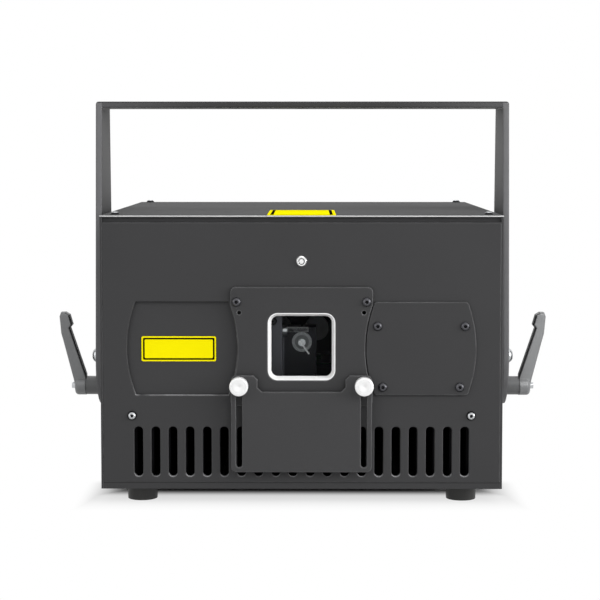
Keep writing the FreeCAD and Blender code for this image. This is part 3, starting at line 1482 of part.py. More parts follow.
def make_lasers():
    """Three laser modules side by side, and the mirrors that bring their beams onto the scan axis."""
    scan_y = front + size.scan_plane
    beam = scan_x_level
    face_y = scan_y + size.laser_gap
    pitch = (deck_half - size.laser_margin - size.laser_first) / 2
    end = back - size.control_rear - size.control_depth - size.laser_rear_gap
    posts, mirrors = [], []
    for number, name in enumerate(("red", "green", "blue")):
        x = size.laser_first + pitch * number
        across = span(x, pitch - size.laser_spacing)
        case = block(f"{name}_case", across, (face_y, end), (deck_top, beam + size.laser_head))
        nozzle = rod(f"{name}_nozzle", (x, face_y, beam), "-Y", size.nozzle_radius, size.nozzle_length)
        keep(fuse(f"{name}_module", [case, nozzle]), f"{name}_laser")

        top = beam - size.post_drop
        post = block(f"{name}_post", span(x, size.post_size), span(scan_y, size.post_size), (deck_top, top))
        mirror = turned_slab(f"{name}_mirror", x, scan_y, top - size.post_slot_depth, size.combiner_width,
                             size.mirror_thickness, size.combiner_height)
        groove = turned_slab(f"{name}_groove", x, scan_y, top - size.post_slot_depth, size.combiner_width * 2,
                             size.mirror_thickness + 2 * size.seat_gap, size.combiner_height)
        posts.append(cut(f"{name}_stand", post, [groove]))
        mirrors.append(mirror)
    keep(group("stands", posts), "mirror_posts")
    keep(group("combiners", mirrors), "combining_mirrors")


def turned_slab(name, x, y, low, width, thickness, height):
    """Upright slab at 45 degrees between X and Y, centred on a point."""
    slab = doc.addObject("Part::Box", name)
    bind(slab, "Length", width)
    bind(slab, "Width", thickness)
    bind(slab, "Height", height)
    slab.Placement.Rotation = FreeCAD.Rotation(FreeCAD.Vector(0, 0, 1), 45)
    diagonal = math.sqrt(0.5)
    bind(slab, "Placement.Base.x", x - (width - thickness) / 2 * diagonal)
    bind(slab, "Placement.Base.y", y - (width + thickness) / 2 * diagonal)
    bind(slab, "Placement.Base.z", low)
    return slab


def make_board(name, x, y):
    """Circuit board on four posts with a row of chips, as one soldered assembly."""
    level = deck_top + size.board_lift
    board_top = level + size.board_thickness
    inset, radius = size.board_post_inset, size.board_post
    pieces = [block(f"{name}_sheet", x, y, (level, board_top))]
    corners = [(x[0] + inset, y[0] + inset), (x[1] - inset, y[0] + inset),
               (x[0] + inset, y[1] - inset), (x[1] - inset, y[1] - inset)]
    for number, (u, v) in enumerate(corners, 1):
        pieces.append(rod(f"{name}_post_{number}", (u, v, deck_top), "+Z", radius, size.board_lift))
    middle = (y[0] + y[1]) / 2
    step = (x[1] - x[0]) / 4
    for number in range(1, 4):
        across = span(x[0] + step * number, size.chip_size * (1 - 0.2 * (number - 1)))
        pieces.append(block(f"{name}_chip_{number}", across, span(middle, size.chip_size),
                            (board_top, board_top + size.chip_height)))
    keep(fuse(f"{name}_assembly", pieces), name)


def make_electronics():
    """Scanner driver board, control board and the power supply in its case."""
    start = front + size.driver_front
    left = size.driver_inset - half_width
    make_board("driver_board", (left, left + size.driver_width), (start, start + size.driver_depth))
    supply = (size.supply_inset - half_width, size.supply_inset - half_width + size.supply_width)
    along = (start + size.driver_depth + size.supply_gap, back - size.supply_rear)
    keep(block("supply", supply, along, (deck_top, deck_top + size.supply_height)), "power_supply")
    end = back - size.control_rear
    make_board("control_board", (supply[1] + size.control_gap, deck_half - size.control_inset),
               (end - size.control_depth, end))


def socket_places():
    """Signal sockets along the rear panel."""
    return [size.socket_first + size.socket_pitch * number - size.socket_pitch * 2 for number in range(4)]


inlet_x = half_width - size.inlet_inset
lock_x = half_width - size.lock_inset
knob_x = size.knob_inset - half_width


def make_rear_panel():
    """Rear panel with the fan grilles and the holes for what is mounted in it."""
    circles = [(x, z, screw_hole) for x, z in deck_screw_places()]
    circles += [(x, socket_level, size.socket_barrel + size.seat_gap) for x in (*socket_places(), inlet_x)]
    circles.append((lock_x, fittings_level, size.lock_barrel + size.seat_gap))
    circles.append((knob_x, fittings_level, size.knob_shaft + size.running_gap))
    body = plate("rear_sheet_body", "XZ_Plane", -back, size.sheet,
                 [rectangle((-inner_half, inner_half), (panel_low, panel_high))], circles)
    for name, side, facing in SIDES:
        first = side * size.fan_offset - size.grille_pitch * (size.grille_count - 1) / 2
        opening = slot(first, above(size.fan_rise), size.grille_width, size.grille_length)
        cutout = pocket(body, f"{name}_grille", "XZ_Plane", -back_inside, size.sheet, [opening])
        row_of(body, f"{name}_grille_row", cutout, "H_Axis", size.grille_pitch, size.grille_count)
    keep(body, "rear_panel")


def make_socket(name, x):
    """Round panel socket: a flange on the panel, a barrel through it and a hollow for the plug."""
    height = socket_level
    outline = rounded(span(x, size.socket_width), span(height, size.socket_height), size.socket_corner)
    flange = plate(f"{name}_flange", "XZ_Plane", -back - size.socket_flange, size.socket_flange, [outline])
    reach = size.sheet + size.socket_length
    barrel_rod = rod(f"{name}_barrel", (x, back, height), "-Y", size.socket_barrel, reach)
    face = back + size.socket_flange
    hollow = rod(f"{name}_hollow", (x, face, height), "-Y", size.socket_bore, size.socket_hollow)
    return cut(f"{name}_socket", fuse(f"{name}_shell", [flange, barrel_rod]), [hollow])


def make_rear_fittings():
    """Mains inlet, signal sockets, key lock with its key, display, menu knob and safety eye."""
    keep(make_socket("mains", inlet_x), "power_inlet")
    signals = [make_socket(f"signal_{number}", x) for number, x in enumerate(socket_places(), 1)]
    keep(group("signals", signals), "signal_sockets")

    level = fittings_level
    bore = size.plug_radius + size.running_gap
    lock = turned("lock", [
        (bore, -size.lock_length - size.sheet),
        (size.lock_barrel, -size.lock_length - size.sheet),
        (size.lock_barrel, 0),
        (size.lock_radius, 0),
        (size.lock_radius, size.lock_flange),
        (bore, size.lock_flange),
    ])
    keep(place(lock, (lock_x, back, level), "+Y"), "key_lock")
    face = back + size.lock_flange
    reach = size.lock_flange + size.sheet + size.lock_length
    plug = rod("lock_plug", (lock_x, face, level), "-Y", size.plug_radius, reach)
    tip = back + size.key_reach
    bow = rod("key_bow_disc", (lock_x - size.key_thickness / 2, tip - size.key_bow, level), "+X",
              size.key_bow, size.key_thickness)
    neck = block("key_neck", span(lock_x, size.key_thickness), (face, tip - size.key_bow),
                 span(level, size.plug_radius))
    eye = rod("key_ring_hole", (lock_x - size.key_thickness / 2, tip - size.key_bow / 2, level), "+X",
              size.key_hole, size.key_thickness)
    room = block("key_room", span(lock_x, size.lock_radius * 2), (back - size.key_bow, face + size.play),
                 span(level, size.key_bow * 2))
    head = cut("key_head", bow, [eye, room])
    keep(fuse("key_body", [plug, neck, head]), "key")

    middle = fittings_level
    screen = plate("screen", "XZ_Plane", -back - size.display_proud, size.display_proud,
                   [rounded(span(size.display_offset, size.display_width), span(middle, size.display_height),
                            size.socket_corner)])
    keep(screen, "display")

    knob = turned("knob", [
        (0, -size.knob_shaft_length),
        (size.knob_shaft, -size.knob_shaft_length),
        (size.knob_shaft, 0),
        (size.knob_radius, 0),
        (size.knob_radius * 0.92, size.knob_length - size.thumb_edge),
        (size.knob_radius * 0.92 - size.thumb_edge, size.knob_length),
        (0, size.knob_length),
    ])
    keep(place(knob, (knob_x, back + size.play, fittings_level), "+Y"), "menu_knob")

    x, z = size.eye_inset - half_width, case_top - size.eye_drop
    tall = span(z, size.eye_base_height)
    base = block("eye_base", span(x, size.eye_base_width), (back, back + size.eye_thickness), tall)
    reach = back + size.eye_thickness + size.eye_reach
    tongue = block("eye_tongue", span(x, size.eye_thickness), (back, reach), tall)
    centre = reach - size.eye_reach / 2
    ring = rod("eye_ring", (x - size.eye_thickness / 2, centre, z), "+X", size.eye_hole, size.eye_thickness)
    keep(cut("eye", fuse("eye_plates", [base, tongue]), [ring]), "safety_eye")


def check_and_write():
    """Stop at the first object that failed, then write every sub-part."""
    doc.recompute()
    for item in doc.Objects:
        if {"Invalid", "Error"} & set(item.State):
            raise RuntimeError(f"{item.Name} failed: {item.State}")
    for item in subparts:
        if item.Shape.isNull() or not item.Shape.isValid():
            raise RuntimeError(f"{item.Label} has no valid shape")
    os.makedirs("parts", exist_ok=True)
    for item in subparts:
        item.Shape.exportStep(f"parts/{item.Label}.step")
        print(item.Label, len(item.Shape.Solids), round(item.Shape.Volume))


make_tray()
make_feet()
make_side_panels()
make_top_cover()
make_front_panel()
make_recess_and_cover()
make_aperture()
make_shutter()
make_lamp()
make_case_screws()
make_bracket()
make_pivots()
make_levers()
make_deck()
make_fans()
make_scanner()
make_lasers()
make_electronics()
make_rear_panel()
make_rear_fittings()
check_and_write()
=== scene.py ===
"""Looks of a laser show projector: finishes, turned pieces, light and camera."""

import math

import bpy
import numpy as np
from bpy.props import FloatProperty, FloatVectorProperty, IntProperty, PointerProperty
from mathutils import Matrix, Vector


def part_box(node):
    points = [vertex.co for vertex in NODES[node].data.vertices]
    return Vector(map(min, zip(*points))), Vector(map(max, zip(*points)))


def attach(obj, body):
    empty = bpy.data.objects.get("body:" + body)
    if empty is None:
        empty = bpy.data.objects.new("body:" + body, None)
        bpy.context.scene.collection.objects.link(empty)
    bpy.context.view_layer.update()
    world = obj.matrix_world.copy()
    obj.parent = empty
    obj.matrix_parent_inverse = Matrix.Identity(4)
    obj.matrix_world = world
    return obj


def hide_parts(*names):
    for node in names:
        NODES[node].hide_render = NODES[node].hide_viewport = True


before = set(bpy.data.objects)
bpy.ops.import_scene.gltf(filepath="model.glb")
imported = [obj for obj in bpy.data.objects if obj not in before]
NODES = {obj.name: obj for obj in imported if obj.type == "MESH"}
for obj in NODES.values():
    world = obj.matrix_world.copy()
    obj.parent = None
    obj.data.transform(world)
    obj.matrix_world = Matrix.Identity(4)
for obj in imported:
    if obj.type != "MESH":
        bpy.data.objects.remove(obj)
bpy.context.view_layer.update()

bl_info = {
    "name": "Laser show projector",
    "version": (1, 0, 0),
    "blender": (4, 5, 0),
    "location": "View3D > Sidebar > Projector",
    "description": "Finishes, turned pieces and stage of a laser show projector",
    "category": "Object",
}

_, CASE_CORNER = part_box("base_tray")
CASE_HALF = (CASE_CORNER.x, CASE_CORNER.y)

# Sizes in metres that the CAD boxes don't give: the two yellow plates and a signal socket's flange.
FRONT_MARKER = (0.0612, 0.0206)
TOP_MARKER = (0.0565, 0.105)
SOCKET_FLANGE = 0.026

# Edges of new pieces that turn by more than this stay sharp.
SHARP_ANGLE = math.radians(35)

# Noise scales of the finishes, in features to a metre: orange peel, rubbed patches and slow changes of tone.
PEEL_SCALE, PATCH_SCALE, TONE_SCALE = 1500, 90, 11
# Noise scales of metal: tool lines, stains, crystals of the plating and its fine pits.
LINE_SCALE, STAIN_SCALE, CRYSTAL_SCALE, PIT_SCALE = 300, 25, 220, 900

# Rays that see the surroundings as they are, while other rays are lit by them.
SEEN_RAYS = ("Camera", "Glossy", "Transmission")


def srgb(red, green, blue):
    """Linear colour of a display colour given from 0 to 255."""
    share = np.array((red, green, blue)) / 255
    return tuple(float(x) for x in np.where(share <= 0.04045, share / 12.92, ((share + 0.055) / 1.055) ** 2.4))


def colour(name, description, *value):
    """A colour setting."""
    return FloatVectorProperty(
        name=name, description=description, default=srgb(*value), subtype="COLOR", size=3, min=0, max=1
    )


def length(name, description, value):
    """A length setting in metres."""
    return FloatProperty(
        name=name, description=description, default=value, unit="LENGTH", subtype="DISTANCE", min=0, precision=5
    )


def watts(name, description, value):
    """A setting of a light's power."""
    return FloatProperty(name=name, description=description, default=value, min=0, unit="POWER")


class ProjectorColours(bpy.types.PropertyGroup):
    """Colours of the finishes."""

    case: colour("Case", "powder coat of the case", 54, 54, 55)
    shutter: colour("Shutter", "powder coat of the shutter plate", 59, 59, 60)
    bracket: colour("Bracket", "powder coat of the bracket", 55, 55, 56)
    # Paler colour of rubbed edges, which also serves as a painted highlight on edges.
    worn_and_highlit: colour("Worn edge", "powder coat rubbed on edges", 150, 150, 152)
    # Near-white bare-metal colour that paints a highlight along the top cover's front edge.
    bare: colour("Bare edge", "bare metal along the top cover's front edge", 245, 245, 245)
    bright: colour("Bright metal", "polished aluminium", 244, 244, 244)
    aluminium: colour("Aluminium", "milled aluminium", 190, 192, 195)
    anodised: colour("Anodised", "black anodised aluminium", 26, 26, 28)
    zinc: colour("Zinc", "zinc-plated steel", 196, 198, 200)
    oxide: colour("Black steel", "black-finished steel", 40, 40, 42)
    rubber: colour("Rubber", "feet", 46, 46, 45)
    yellow: colour("Yellow", "marker plates", 252, 238, 8)
    line: colour("Border line", "line round the marker plates", 24, 22, 8)
    casting: colour("Casting", "coated die-cast levers", 116, 117, 118)
    board: colour("Circuit board", "solder resist", 24, 74, 40)
    copper: colour("Trace", "covered copper tracks", 44, 112, 62)
    plastic: colour("Plastic", "black mouldings", 27, 27, 28)
    lens: colour("Lens", "diffusing lens of the lamp", 246, 246, 246)
    screen: colour("Screen", "dark display window", 30, 52, 70)
    brass: colour("Brass", "key", 205, 184, 128)
    floor: colour("Floor", "pale studio floor", 190, 190, 190)


class ProjectorSizes(bpy.types.PropertyGroup):
    """Sizes of the turned pieces and of the finishes' detail, and the strength of the lights."""

    thumb_head: length("Thumb screw head", "length of the head", 0.008)
    thumb_shank: length("Thumb screw shank", "radius of the shank", 0.00195)
    thumb_edge: length("Thumb screw bevel", "bevel of the head", 0.0007)
    knurl_depth: length("Knurl depth", "depth of the knurls", 0.0003)
    knurl_count: IntProperty(name="Knurls", description="knurls round a thumb screw", default=60, min=8)
    knob_skirt: length("Knob height", "menu knob in front of the panel", 0.013)
    knob_shaft: length("Knob shaft", "radius of the shaft", 0.003)
    rib_depth: length("Rib depth", "depth of the knob's ribs", 0.0006)
    rib_count: IntProperty(name="Ribs", description="ribs round the menu knob", default=24, min=8)
    pin_radius: length("Contact radius", "contact pins in the sockets", 0.0011)
    pin_length: length("Contact length", "contact pins in the sockets", 0.0085)
    pin_circle: length("Contact circle", "radius that the pins stand on", 0.0048)
    socket_floor: length("Socket depth", "floor of a socket behind its face", 0.014)
    plate: length("Bracket plate", "thickness of the bracket's plate", 0.0055)
    bar_depth: length("Bar depth", "bracket's bar from its top to the arms' inner ends", 0.006)
    # Reach of the paler edge tone: wear, and a painted highlight.
    edge_tone_reach: length("Worn edge", "how far wear reaches from an edge", 0.0009)
    # Reach of the paler edge tone on the front panel and its plates: wear, and a painted highlight.
    plate_edge_tone_reach: length("Deburred edge", "how far wear reaches on the front panel and its plates", 0.0016)
    # Width of the painted shade along the tray's front seam.
    seam: length("Seam", "grime along the tray's front seam", 0.0007)
    # Width of the painted highlight along the top cover's front edge.
    glint_width: length("Bare edge", "bare metal along the top cover's front edge", 0.0005)
    key_power: watts("Key light", "power of the key light", 17)
    fill_power: watts("Fill light", "power of the fill light", 9)
    top_power: watts("Top light", "power of the top light", 15)
    side_power: watts("Side light", "power of the right side light", 24)
    rear_power: watts("Rear light", "power of the rear light", 4.5)
    ambient: FloatProperty(name="Ambient", description="strength of the surrounding light", default=0.5, min=0)


class Wire:
    """An output socket of a graph that can be used in sums."""

    def __init__(self, graph, socket):
        self.graph = graph
        self.socket = socket

    def math(self, operation, *values):
        """Another Math node on this value."""
        inputs = dict(enumerate((self, *values)))
        return self.graph.add("ShaderNodeMath", {"operation": operation}, inputs)

    def __add__(self, other):
        return self.math("ADD", other)

    __radd__ = __add__

    def __sub__(self, other):
        return self.math("SUBTRACT", other)

    def __rsub__(self, other):
        return self.graph.add("ShaderNodeMath", {"operation": "SUBTRACT"}, {0: other, 1: self})

    def __mul__(self, other):
        return self.math("MULTIPLY", other)

    __rmul__ = __mul__

    def __truediv__(self, other):
        return self.math("DIVIDE", other)

    def __abs__(self):
        return self.math("ABSOLUTE")

    def step(self, low, high):
        """Smooth rise from 0 at low to 1 at high."""
        smooth = {"interpolation_type": "SMOOTHSTEP"}
        return self.graph.add("ShaderNodeMapRange", smooth, {"Value": self, "From Min": low, "From Max": high})

    def above(self, border):
        """1 where this is above 0 and 0 below, changing over a border to either side."""
        return self.step(-border, border)

    def waves(self, rate):
        """Sine of this value times a rate."""
        return (self * rate).math("SINE")


class Graph:
    """A node tree of a material or of the world."""

    def __init__(self, tree):
        self.tree = tree

    def feed(self, socket, value):
        """Link a wire to a socket, or set the socket's value."""
        if isinstance(value, Wire):
            self.tree.links.new(value.socket, socket)
        elif socket.type == "RGBA" and len(value) == 3:
            socket.default_value = (*value, 1)
        else:
            socket.default_value = value

    def add(self, kind, settings=None, inputs=None, output=0):
        """Add any node: its settings, then the values or wires of its sockets."""
        node = self.tree.nodes.new(kind)
        for key, value in (settings or {}).items():
            setattr(node, key, value)
        for key, value in (inputs or {}).items():
            self.feed(node.inputs[key], value)
        return Wire(self, node.outputs[output])

    def seen(self):
        """1 for rays that see the surroundings as they are, 0 for the others."""
        first, *others = (self.add("ShaderNodeLightPath", output=f"Is {kind} Ray") for kind in SEEN_RAYS)
        for ray in others:
            first = first.math("MAXIMUM", ray)
        return first


class Finish(Graph):
    """A material made of nodes round one Principled shader."""

    def __init__(self, name):
        self.material = bpy.data.materials.new(name)
        self.material.use_nodes = True
        super().__init__(self.material.node_tree)
        self.shader = self.tree.nodes["Principled BSDF"]

    def set(self, **values):
        """Values or wires of the Principled shader, with underscores for spaces in the names."""
        for key, value in values.items():
            self.feed(self.shader.inputs[key.replace("_", " ")], value)

    def place(self, centre=(0, 0, 0), stretch=(1, 1, 1)):
        """Object coordinates about a centre, stretched along the axes."""
        moved = tuple(-c * s for c, s in zip(centre, stretch))
        there = self.add("ShaderNodeTexCoord", output="Object")
        return self.add("ShaderNodeMapping", None, {"Vector": there, "Location": moved, "Scale": stretch})

    def parts(self, vector):
        """The three parts of a vector."""
        split = self.tree.nodes.new("ShaderNodeSeparateXYZ")
        self.feed(split.inputs[0], vector)
        return [Wire(self, socket) for socket in split.outputs]

    def axes(self, centre=(0, 0, 0)):
        """The three object coordinates about a centre."""
        return self.parts(self.place(centre))

    def flat(self):
        """True normal of the surface."""
        return self.add("ShaderNodeNewGeometry", output="True Normal")

    def noise(self, scale, detail=2.0, stretch=(1, 1, 1)):
        """Soft noise from 0 to 1 with features about 1 / scale metres across."""
        inputs = {"Vector": self.place(stretch=stretch), "Scale": scale, "Detail": detail}
        return self.add("ShaderNodeTexNoise", None, inputs)

    def mix(self, share, first, second):
        """Colour between two by a share."""
        return self.add("ShaderNodeMix", {"data_type": "RGBA"}, {0: share, 6: first, 7: second}, 2)

    def rounded(self, radius):
        """Normal with edges rounded by a radius."""
        return self.add("ShaderNodeBevel", {"samples": 6}, {"Radius": radius})

    def edge(self, soft):
        """1 on edges and 0 on flats: how far a rounded normal leans from the true one."""
        inputs = {0: soft, 1: self.flat()}
        lean = self.add("ShaderNodeVectorMath", {"operation": "DOT_PRODUCT"}, inputs, "Value")
        return (1 - lean).step(0.004, 0.13)

    def occluded(self, reach, alone=True):
        """1 deep in a recess and 0 in the open, by ambient occlusion, in the piece alone or between pieces too: the
        mask for painted shade.
        """
        inputs = {"Distance": reach}
        return 1 - self.add("ShaderNodeAmbientOcclusion", {"samples": 8, "only_local": alone}, inputs, "AO")

    def bump(self, height, distance, strength, normal=None):
        """Normal of a raised pattern."""
        inputs = {"Height": height, "Distance": distance, "Strength": strength}
        if normal is not None:
            inputs["Normal"] = normal
        return self.add("ShaderNodeBump", None, inputs)

    def fed(self, name):
        """The wire that feeds a socket of the shader so far."""
        return Wire(self, self.shader.inputs[name].links[0].from_socket)

    def lay(self, share, over):
        """Lay a colour over the base colour so far, by a share."""
        self.set(Base_Color=self.mix(share, self.fed("Base Color"), over))

    def solid(self):
        """The Principled shader's surface."""
        return Wire(self, self.shader.outputs[0])

    def blend(self, share, first, second):
        """Surface between two by a share."""
        return self.add("ShaderNodeMixShader", None, {0: share, 1: first, 2: second})

    def show(self, surface):
        """Make a blended surface the material's own."""
        self.tree.links.new(surface.socket, self.tree.nodes["Material Output"].inputs["Surface"])


def toned(value, factor):
    """A colour made lighter or darker."""
    return tuple(min(1.0, float(c) * factor) for c in value)


def off_axis(across, up):
    """Distance from an axis by two coordinates about it."""
    return (across * across + up * up).math("SQRT")


def powder_coat(name, base, worn_and_highlit, reach, rough=0.5, gloss=0.22, fold=None, wear=0.5):
    """Powder coat: fine orange-peel grain, slow changes of tone, edges rubbed paler that also stand for a painted
    highlight, painted shade in seams between pieces, and edges rounded by a fold radius.
    """
    finish = Finish(name)
    shade_reach, peel_depth = 0.002, 0.00012
    grain = finish.noise(PEEL_SCALE, 2)
    cloud = finish.noise(TONE_SCALE, 4)
    near = finish.rounded(reach)
    soft = finish.rounded(fold) if fold else near
    # Edges rubbed paler, also a painted highlight where light would catch them.
    painted_edge_tone = finish.edge(near) * (0.4 + 0.6 * finish.noise(PATCH_SCALE, 3).step(0.25, 0.7))
    # Painted shade in seams between pieces, from ambient occlusion.
    painted_shade = finish.occluded(shade_reach, False).step(0.3, 0.8)
    body = finish.mix(cloud, toned(base, 0.9), toned(base, 1.1))
    flecked = finish.mix(grain.step(0.62, 0.75) * 0.35, body, toned(base, 1.8))
    seam_shaded = finish.mix(painted_shade * 0.7, flecked, toned(base, 0.3))
    finish.set(
        Base_Color=finish.mix(painted_edge_tone * wear, seam_shaded, worn_and_highlit),
        Roughness=rough + 0.12 * cloud - 0.12 * painted_edge_tone,
        Specular_IOR_Level=gloss,
        Normal=finish.bump(grain, peel_depth, 0.35, soft),
    )
    return finish


def painted_edge_glint(finish, front, top, bare):
    """Painted highlight: a near-white, partly metallic band, as of bare metal, on the rounded edge in front of one
    plane and above another.
    """
    border = 0.0001
    _, y, z = finish.axes()
    band = (front - y).above(border) * (z - top).above(border)
    finish.lay(band, bare)
    finish.set(Roughness=finish.fed("Roughness") - 0.2 * band, Metallic=0.4 * band)


def painted_seam_shade(finish, level, width, dark):
    """Painted shade on a patchy band just below a seam's level."""
    _, _, z = finish.axes()
    band = (z - (level - width)).above(0.0002)
    finish.lay(band * (0.6 + 0.4 * finish.noise(50, 3)), dark)


def painted_lip_highlights(finish, reach, top, pale):
    """Painted highlight on rounded edges that lean upwards, except along the top."""
    _, _, lean = finish.parts(finish.rounded(reach))
    _, _, z = finish.axes()
    below = (top - z).step(0.004, 0.008)
    patchy = finish.noise(70, 3).step(0.25, 0.6)
    finish.lay(lean.step(0.08, 0.5) * below * 0.8 * patchy, pale)


def painted_cut_edge_highlights(finish, corner, plate, bar_depth, pale):
    """Painted highlight on the bracket's cut edges: all of the arms' edges, and the bar's towards its ends.

    They are the faces that don't look along X, apart from the bar's top. The corner is the bracket's highest one.
    """
    top_skin = 0.0012
    x, _, z = finish.axes()
    sideways, _, _ = finish.parts(finish.flat())
    below_bar = (corner.z - bar_depth - z).step(0, 0.006)
    below_top = (corner.z - top_skin - z).above(0.0004)
    outside = (abs(x) - (corner.x - plate)).above(0.0003)
    ends = outside.math("MAXIMUM", 0.4 * abs(x).step(0.06, 0.2))
    share = (1 - abs(sideways).step(0.3, 0.7)) * below_bar.math("MAXIMUM", ends * below_top)
    finish.lay(share * (0.75 + 0.25 * finish.noise(60, 3)), pale)


def milled(name, base, stretch, rough=0.3, reach=0.0004):
    """Milled or brushed metal with fine lines along one axis."""
    finish = Finish(name)
    line_depth = 0.00005
    lines = finish.noise(LINE_SCALE, 3, stretch)
    stain = finish.noise(STAIN_SCALE, 3)
    soft = finish.rounded(reach)
    finish.set(
        Base_Color=finish.mix(stain, toned(base, 0.86), toned(base, 1.06)),
        Metallic=1.0,
        Roughness=rough + 0.14 * lines + 0.08 * stain,
        Normal=finish.bump(lines, line_depth, 0.25, soft),
    )
    return finish


def bare_cheek(finish, side, pale):
    """Paler machined face on the left of a plane."""
    x, _, _ = finish.axes()
    finish.lay((side - x).above(0.0004) * (0.8 + 0.2 * finish.noise(150, 3)), pale)


def plated(name, base, rough=0.22, reach=0.0003):
    """Plated steel: cloudy crystals in the plating, softly rounded edges, painted shade in recesses, rougher there.
    """
    finish = Finish(name)
    shade_reach, pit_depth = 0.003, 0.00004
    cloud = finish.noise(CRYSTAL_SCALE, 3)
    soft = finish.rounded(reach)
    # Painted shade in the piece's own recesses, from ambient occlusion.
    painted_shade = finish.occluded(shade_reach).step(0.2, 0.6)
    metal = finish.mix(cloud, toned(base, 0.84), base)
    finish.set(
        Base_Color=finish.mix(painted_shade, metal, toned(base, 0.05)),
        Metallic=1.0,
        Roughness=rough + 0.16 * cloud + 0.3 * painted_shade,
        Normal=finish.bump(finish.noise(PIT_SCALE, 2), pit_depth, 0.15, soft),
    )
    return finish


def moulded(name, base, rough=0.55, grain=1100, depth=0.00008):
    """Moulded plastic or rubber with a spark-eroded grain."""
    finish = Finish(name)
    edge_radius = 0.0004
    fine = finish.noise(grain, 2)
    cloud = finish.noise(40, 3)
    finish.set(
        Base_Color=finish.mix(cloud, toned(base, 0.85), toned(base, 1.2)),
        Roughness=rough + 0.15 * fine,
        Specular_IOR_Level=0.35,
        Normal=finish.bump(fine, depth, 0.4, finish.rounded(edge_radius)),
    )
    return finish


def dress(finish, *names):
    """Give a finish to CAD nodes."""
    for name in names:
        slots = NODES[name].data.materials
        slots.clear()
        slots.append(finish.material)


def turned(profile, teeth=None, depth=0.0, steps=96, weights=None):
    """A profile of radius r and height t carried round Z, closed by a pole at each end.

    At angle a a point stands at r cos a along X, r sin a along Y and t along Z. With teeth, r is lowered by
    depth times the point's weight times (1 - cos(teeth a)) / 2. Gives points, quads and triangles.
    """
    profile = np.array(profile, float)
    angle = np.linspace(0, 2 * np.pi, steps, endpoint=False)
    radius = profile[1:-1, :1] * np.ones_like(angle)
    if teeth:
        radius = radius - depth * np.array(weights, float)[1:-1, None] * (1 - np.cos(teeth * angle)) / 2
    along = profile[1:-1, 1:] * np.ones_like(angle)
    rings = np.stack((radius * np.cos(angle), radius * np.sin(angle), along), -1).reshape(-1, 3)
    poles = np.array(((0, 0, profile[0, 1]), (0, 0, profile[-1, 1])))
    count = len(profile) - 2
    here = np.arange(steps)
    after = (here + 1) % steps
    row = np.arange(count - 1)[:, None] * steps
    quads = np.stack((row + here, row + after, row + steps + after, row + steps + here), -1).reshape(-1, 4)
    first, last = np.full(steps, count * steps), np.full(steps, count * steps + 1)
    top = (count - 1) * steps
    ends = np.concatenate((np.stack((first, after, here), -1), np.stack((last, top + here, top + after), -1)))
    return np.concatenate((rings, poles)), quads, ends


def stood(points, centre, facing):
    """Points about +Z turned to stand on a centre along +Y (facing 1) or -Y (facing -1)."""
    turn = np.array(((1, 0, 0), (0, 0, -facing), (0, facing, 0)), float)
    return points @ turn + np.array(centre, float)


def repeated(faces, count, size):
    """Faces of a number of copies, each copy's point numbers being higher by the size of the last one."""
    return (faces + np.arange(count)[:, None, None] * size).reshape(-1, faces.shape[1])


def make_piece(name, points, quads, ends, finish, body, slot, nodes=()):
    """New object from points and faces, riding on a body, standing for CAD nodes if any are named."""
    mesh = bpy.data.meshes.new(name)
    mesh.from_pydata(points.tolist(), [], [*quads.tolist(), *ends.tolist()])
    mesh.validate()
    mesh.shade_smooth()
    mesh.set_sharp_from_angle(angle=SHARP_ANGLE)
    mesh.materials.append(finish.material)
    piece = bpy.data.objects.new(name, mesh)
    bpy.context.scene.collection.objects.link(piece)
    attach(piece, body)
    if nodes:
        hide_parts(*nodes)


def read_settings(context):
    """The sizes and colours of the scene."""
    return context.scene.projector_sizes, context.scene.projector_colours


class PROJECTOR_OT_case(bpy.types.Operator):
    """Powder-coat the case, its plates and the shutter"""

    bl_idname = "projector.case"
    bl_label = "Case"

    def execute(self, context):
        sizes, colours = read_settings(context)
        worn_and_highlit = tuple(colours.worn_and_highlit)
        coat = powder_coat("case_powder_coat", colours.case, worn_and_highlit, sizes.edge_tone_reach, wear=0.2)
        dress(coat, "rear_panel", "left_side_panel", "right_side_panel")
        tray = powder_coat("tray_powder_coat", colours.case, toned(colours.case, 1.2), sizes.edge_tone_reach / 3)
        low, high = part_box("front_panel")
        # Painted shade along the seam under the front panel.
        painted_seam_shade(tray, low.z, sizes.seam, toned(colours.case, 0.3))
        dress(tray, "base_tray")
        panel = powder_coat("panel_powder_coat", colours.case, worn_and_highlit, sizes.plate_edge_tone_reach, wear=0.15)
        # Painted highlights on the front panel's upward-leaning edges.
        painted_lip_highlights(panel, sizes.plate_edge_tone_reach, high.z, worn_and_highlit)
        dress(panel, "front_panel")
        low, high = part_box("top_cover")
        cover = powder_coat("cover_powder_coat", colours.case, worn_and_highlit, sizes.edge_tone_reach, rough=0.6, gloss=0.08)
        # Painted highlight along the top cover's front edge.
        painted_edge_glint(cover, low.y + sizes.glint_width, high.z - sizes.glint_width, tuple(colours.bare))
        dress(cover, "top_cover")
        plates = powder_coat("plate_powder_coat", colours.case, worn_and_highlit, sizes.plate_edge_tone_reach, rough=0.46)
        dress(plates, "aperture_plate", "blanking_plate", "access_cover")
        mask = powder_coat("shutter_powder_coat", colours.shutter, worn_and_highlit, sizes.plate_edge_tone_reach, rough=0.46)
        dress(mask, "shutter_plate")
        return {"FINISHED"}


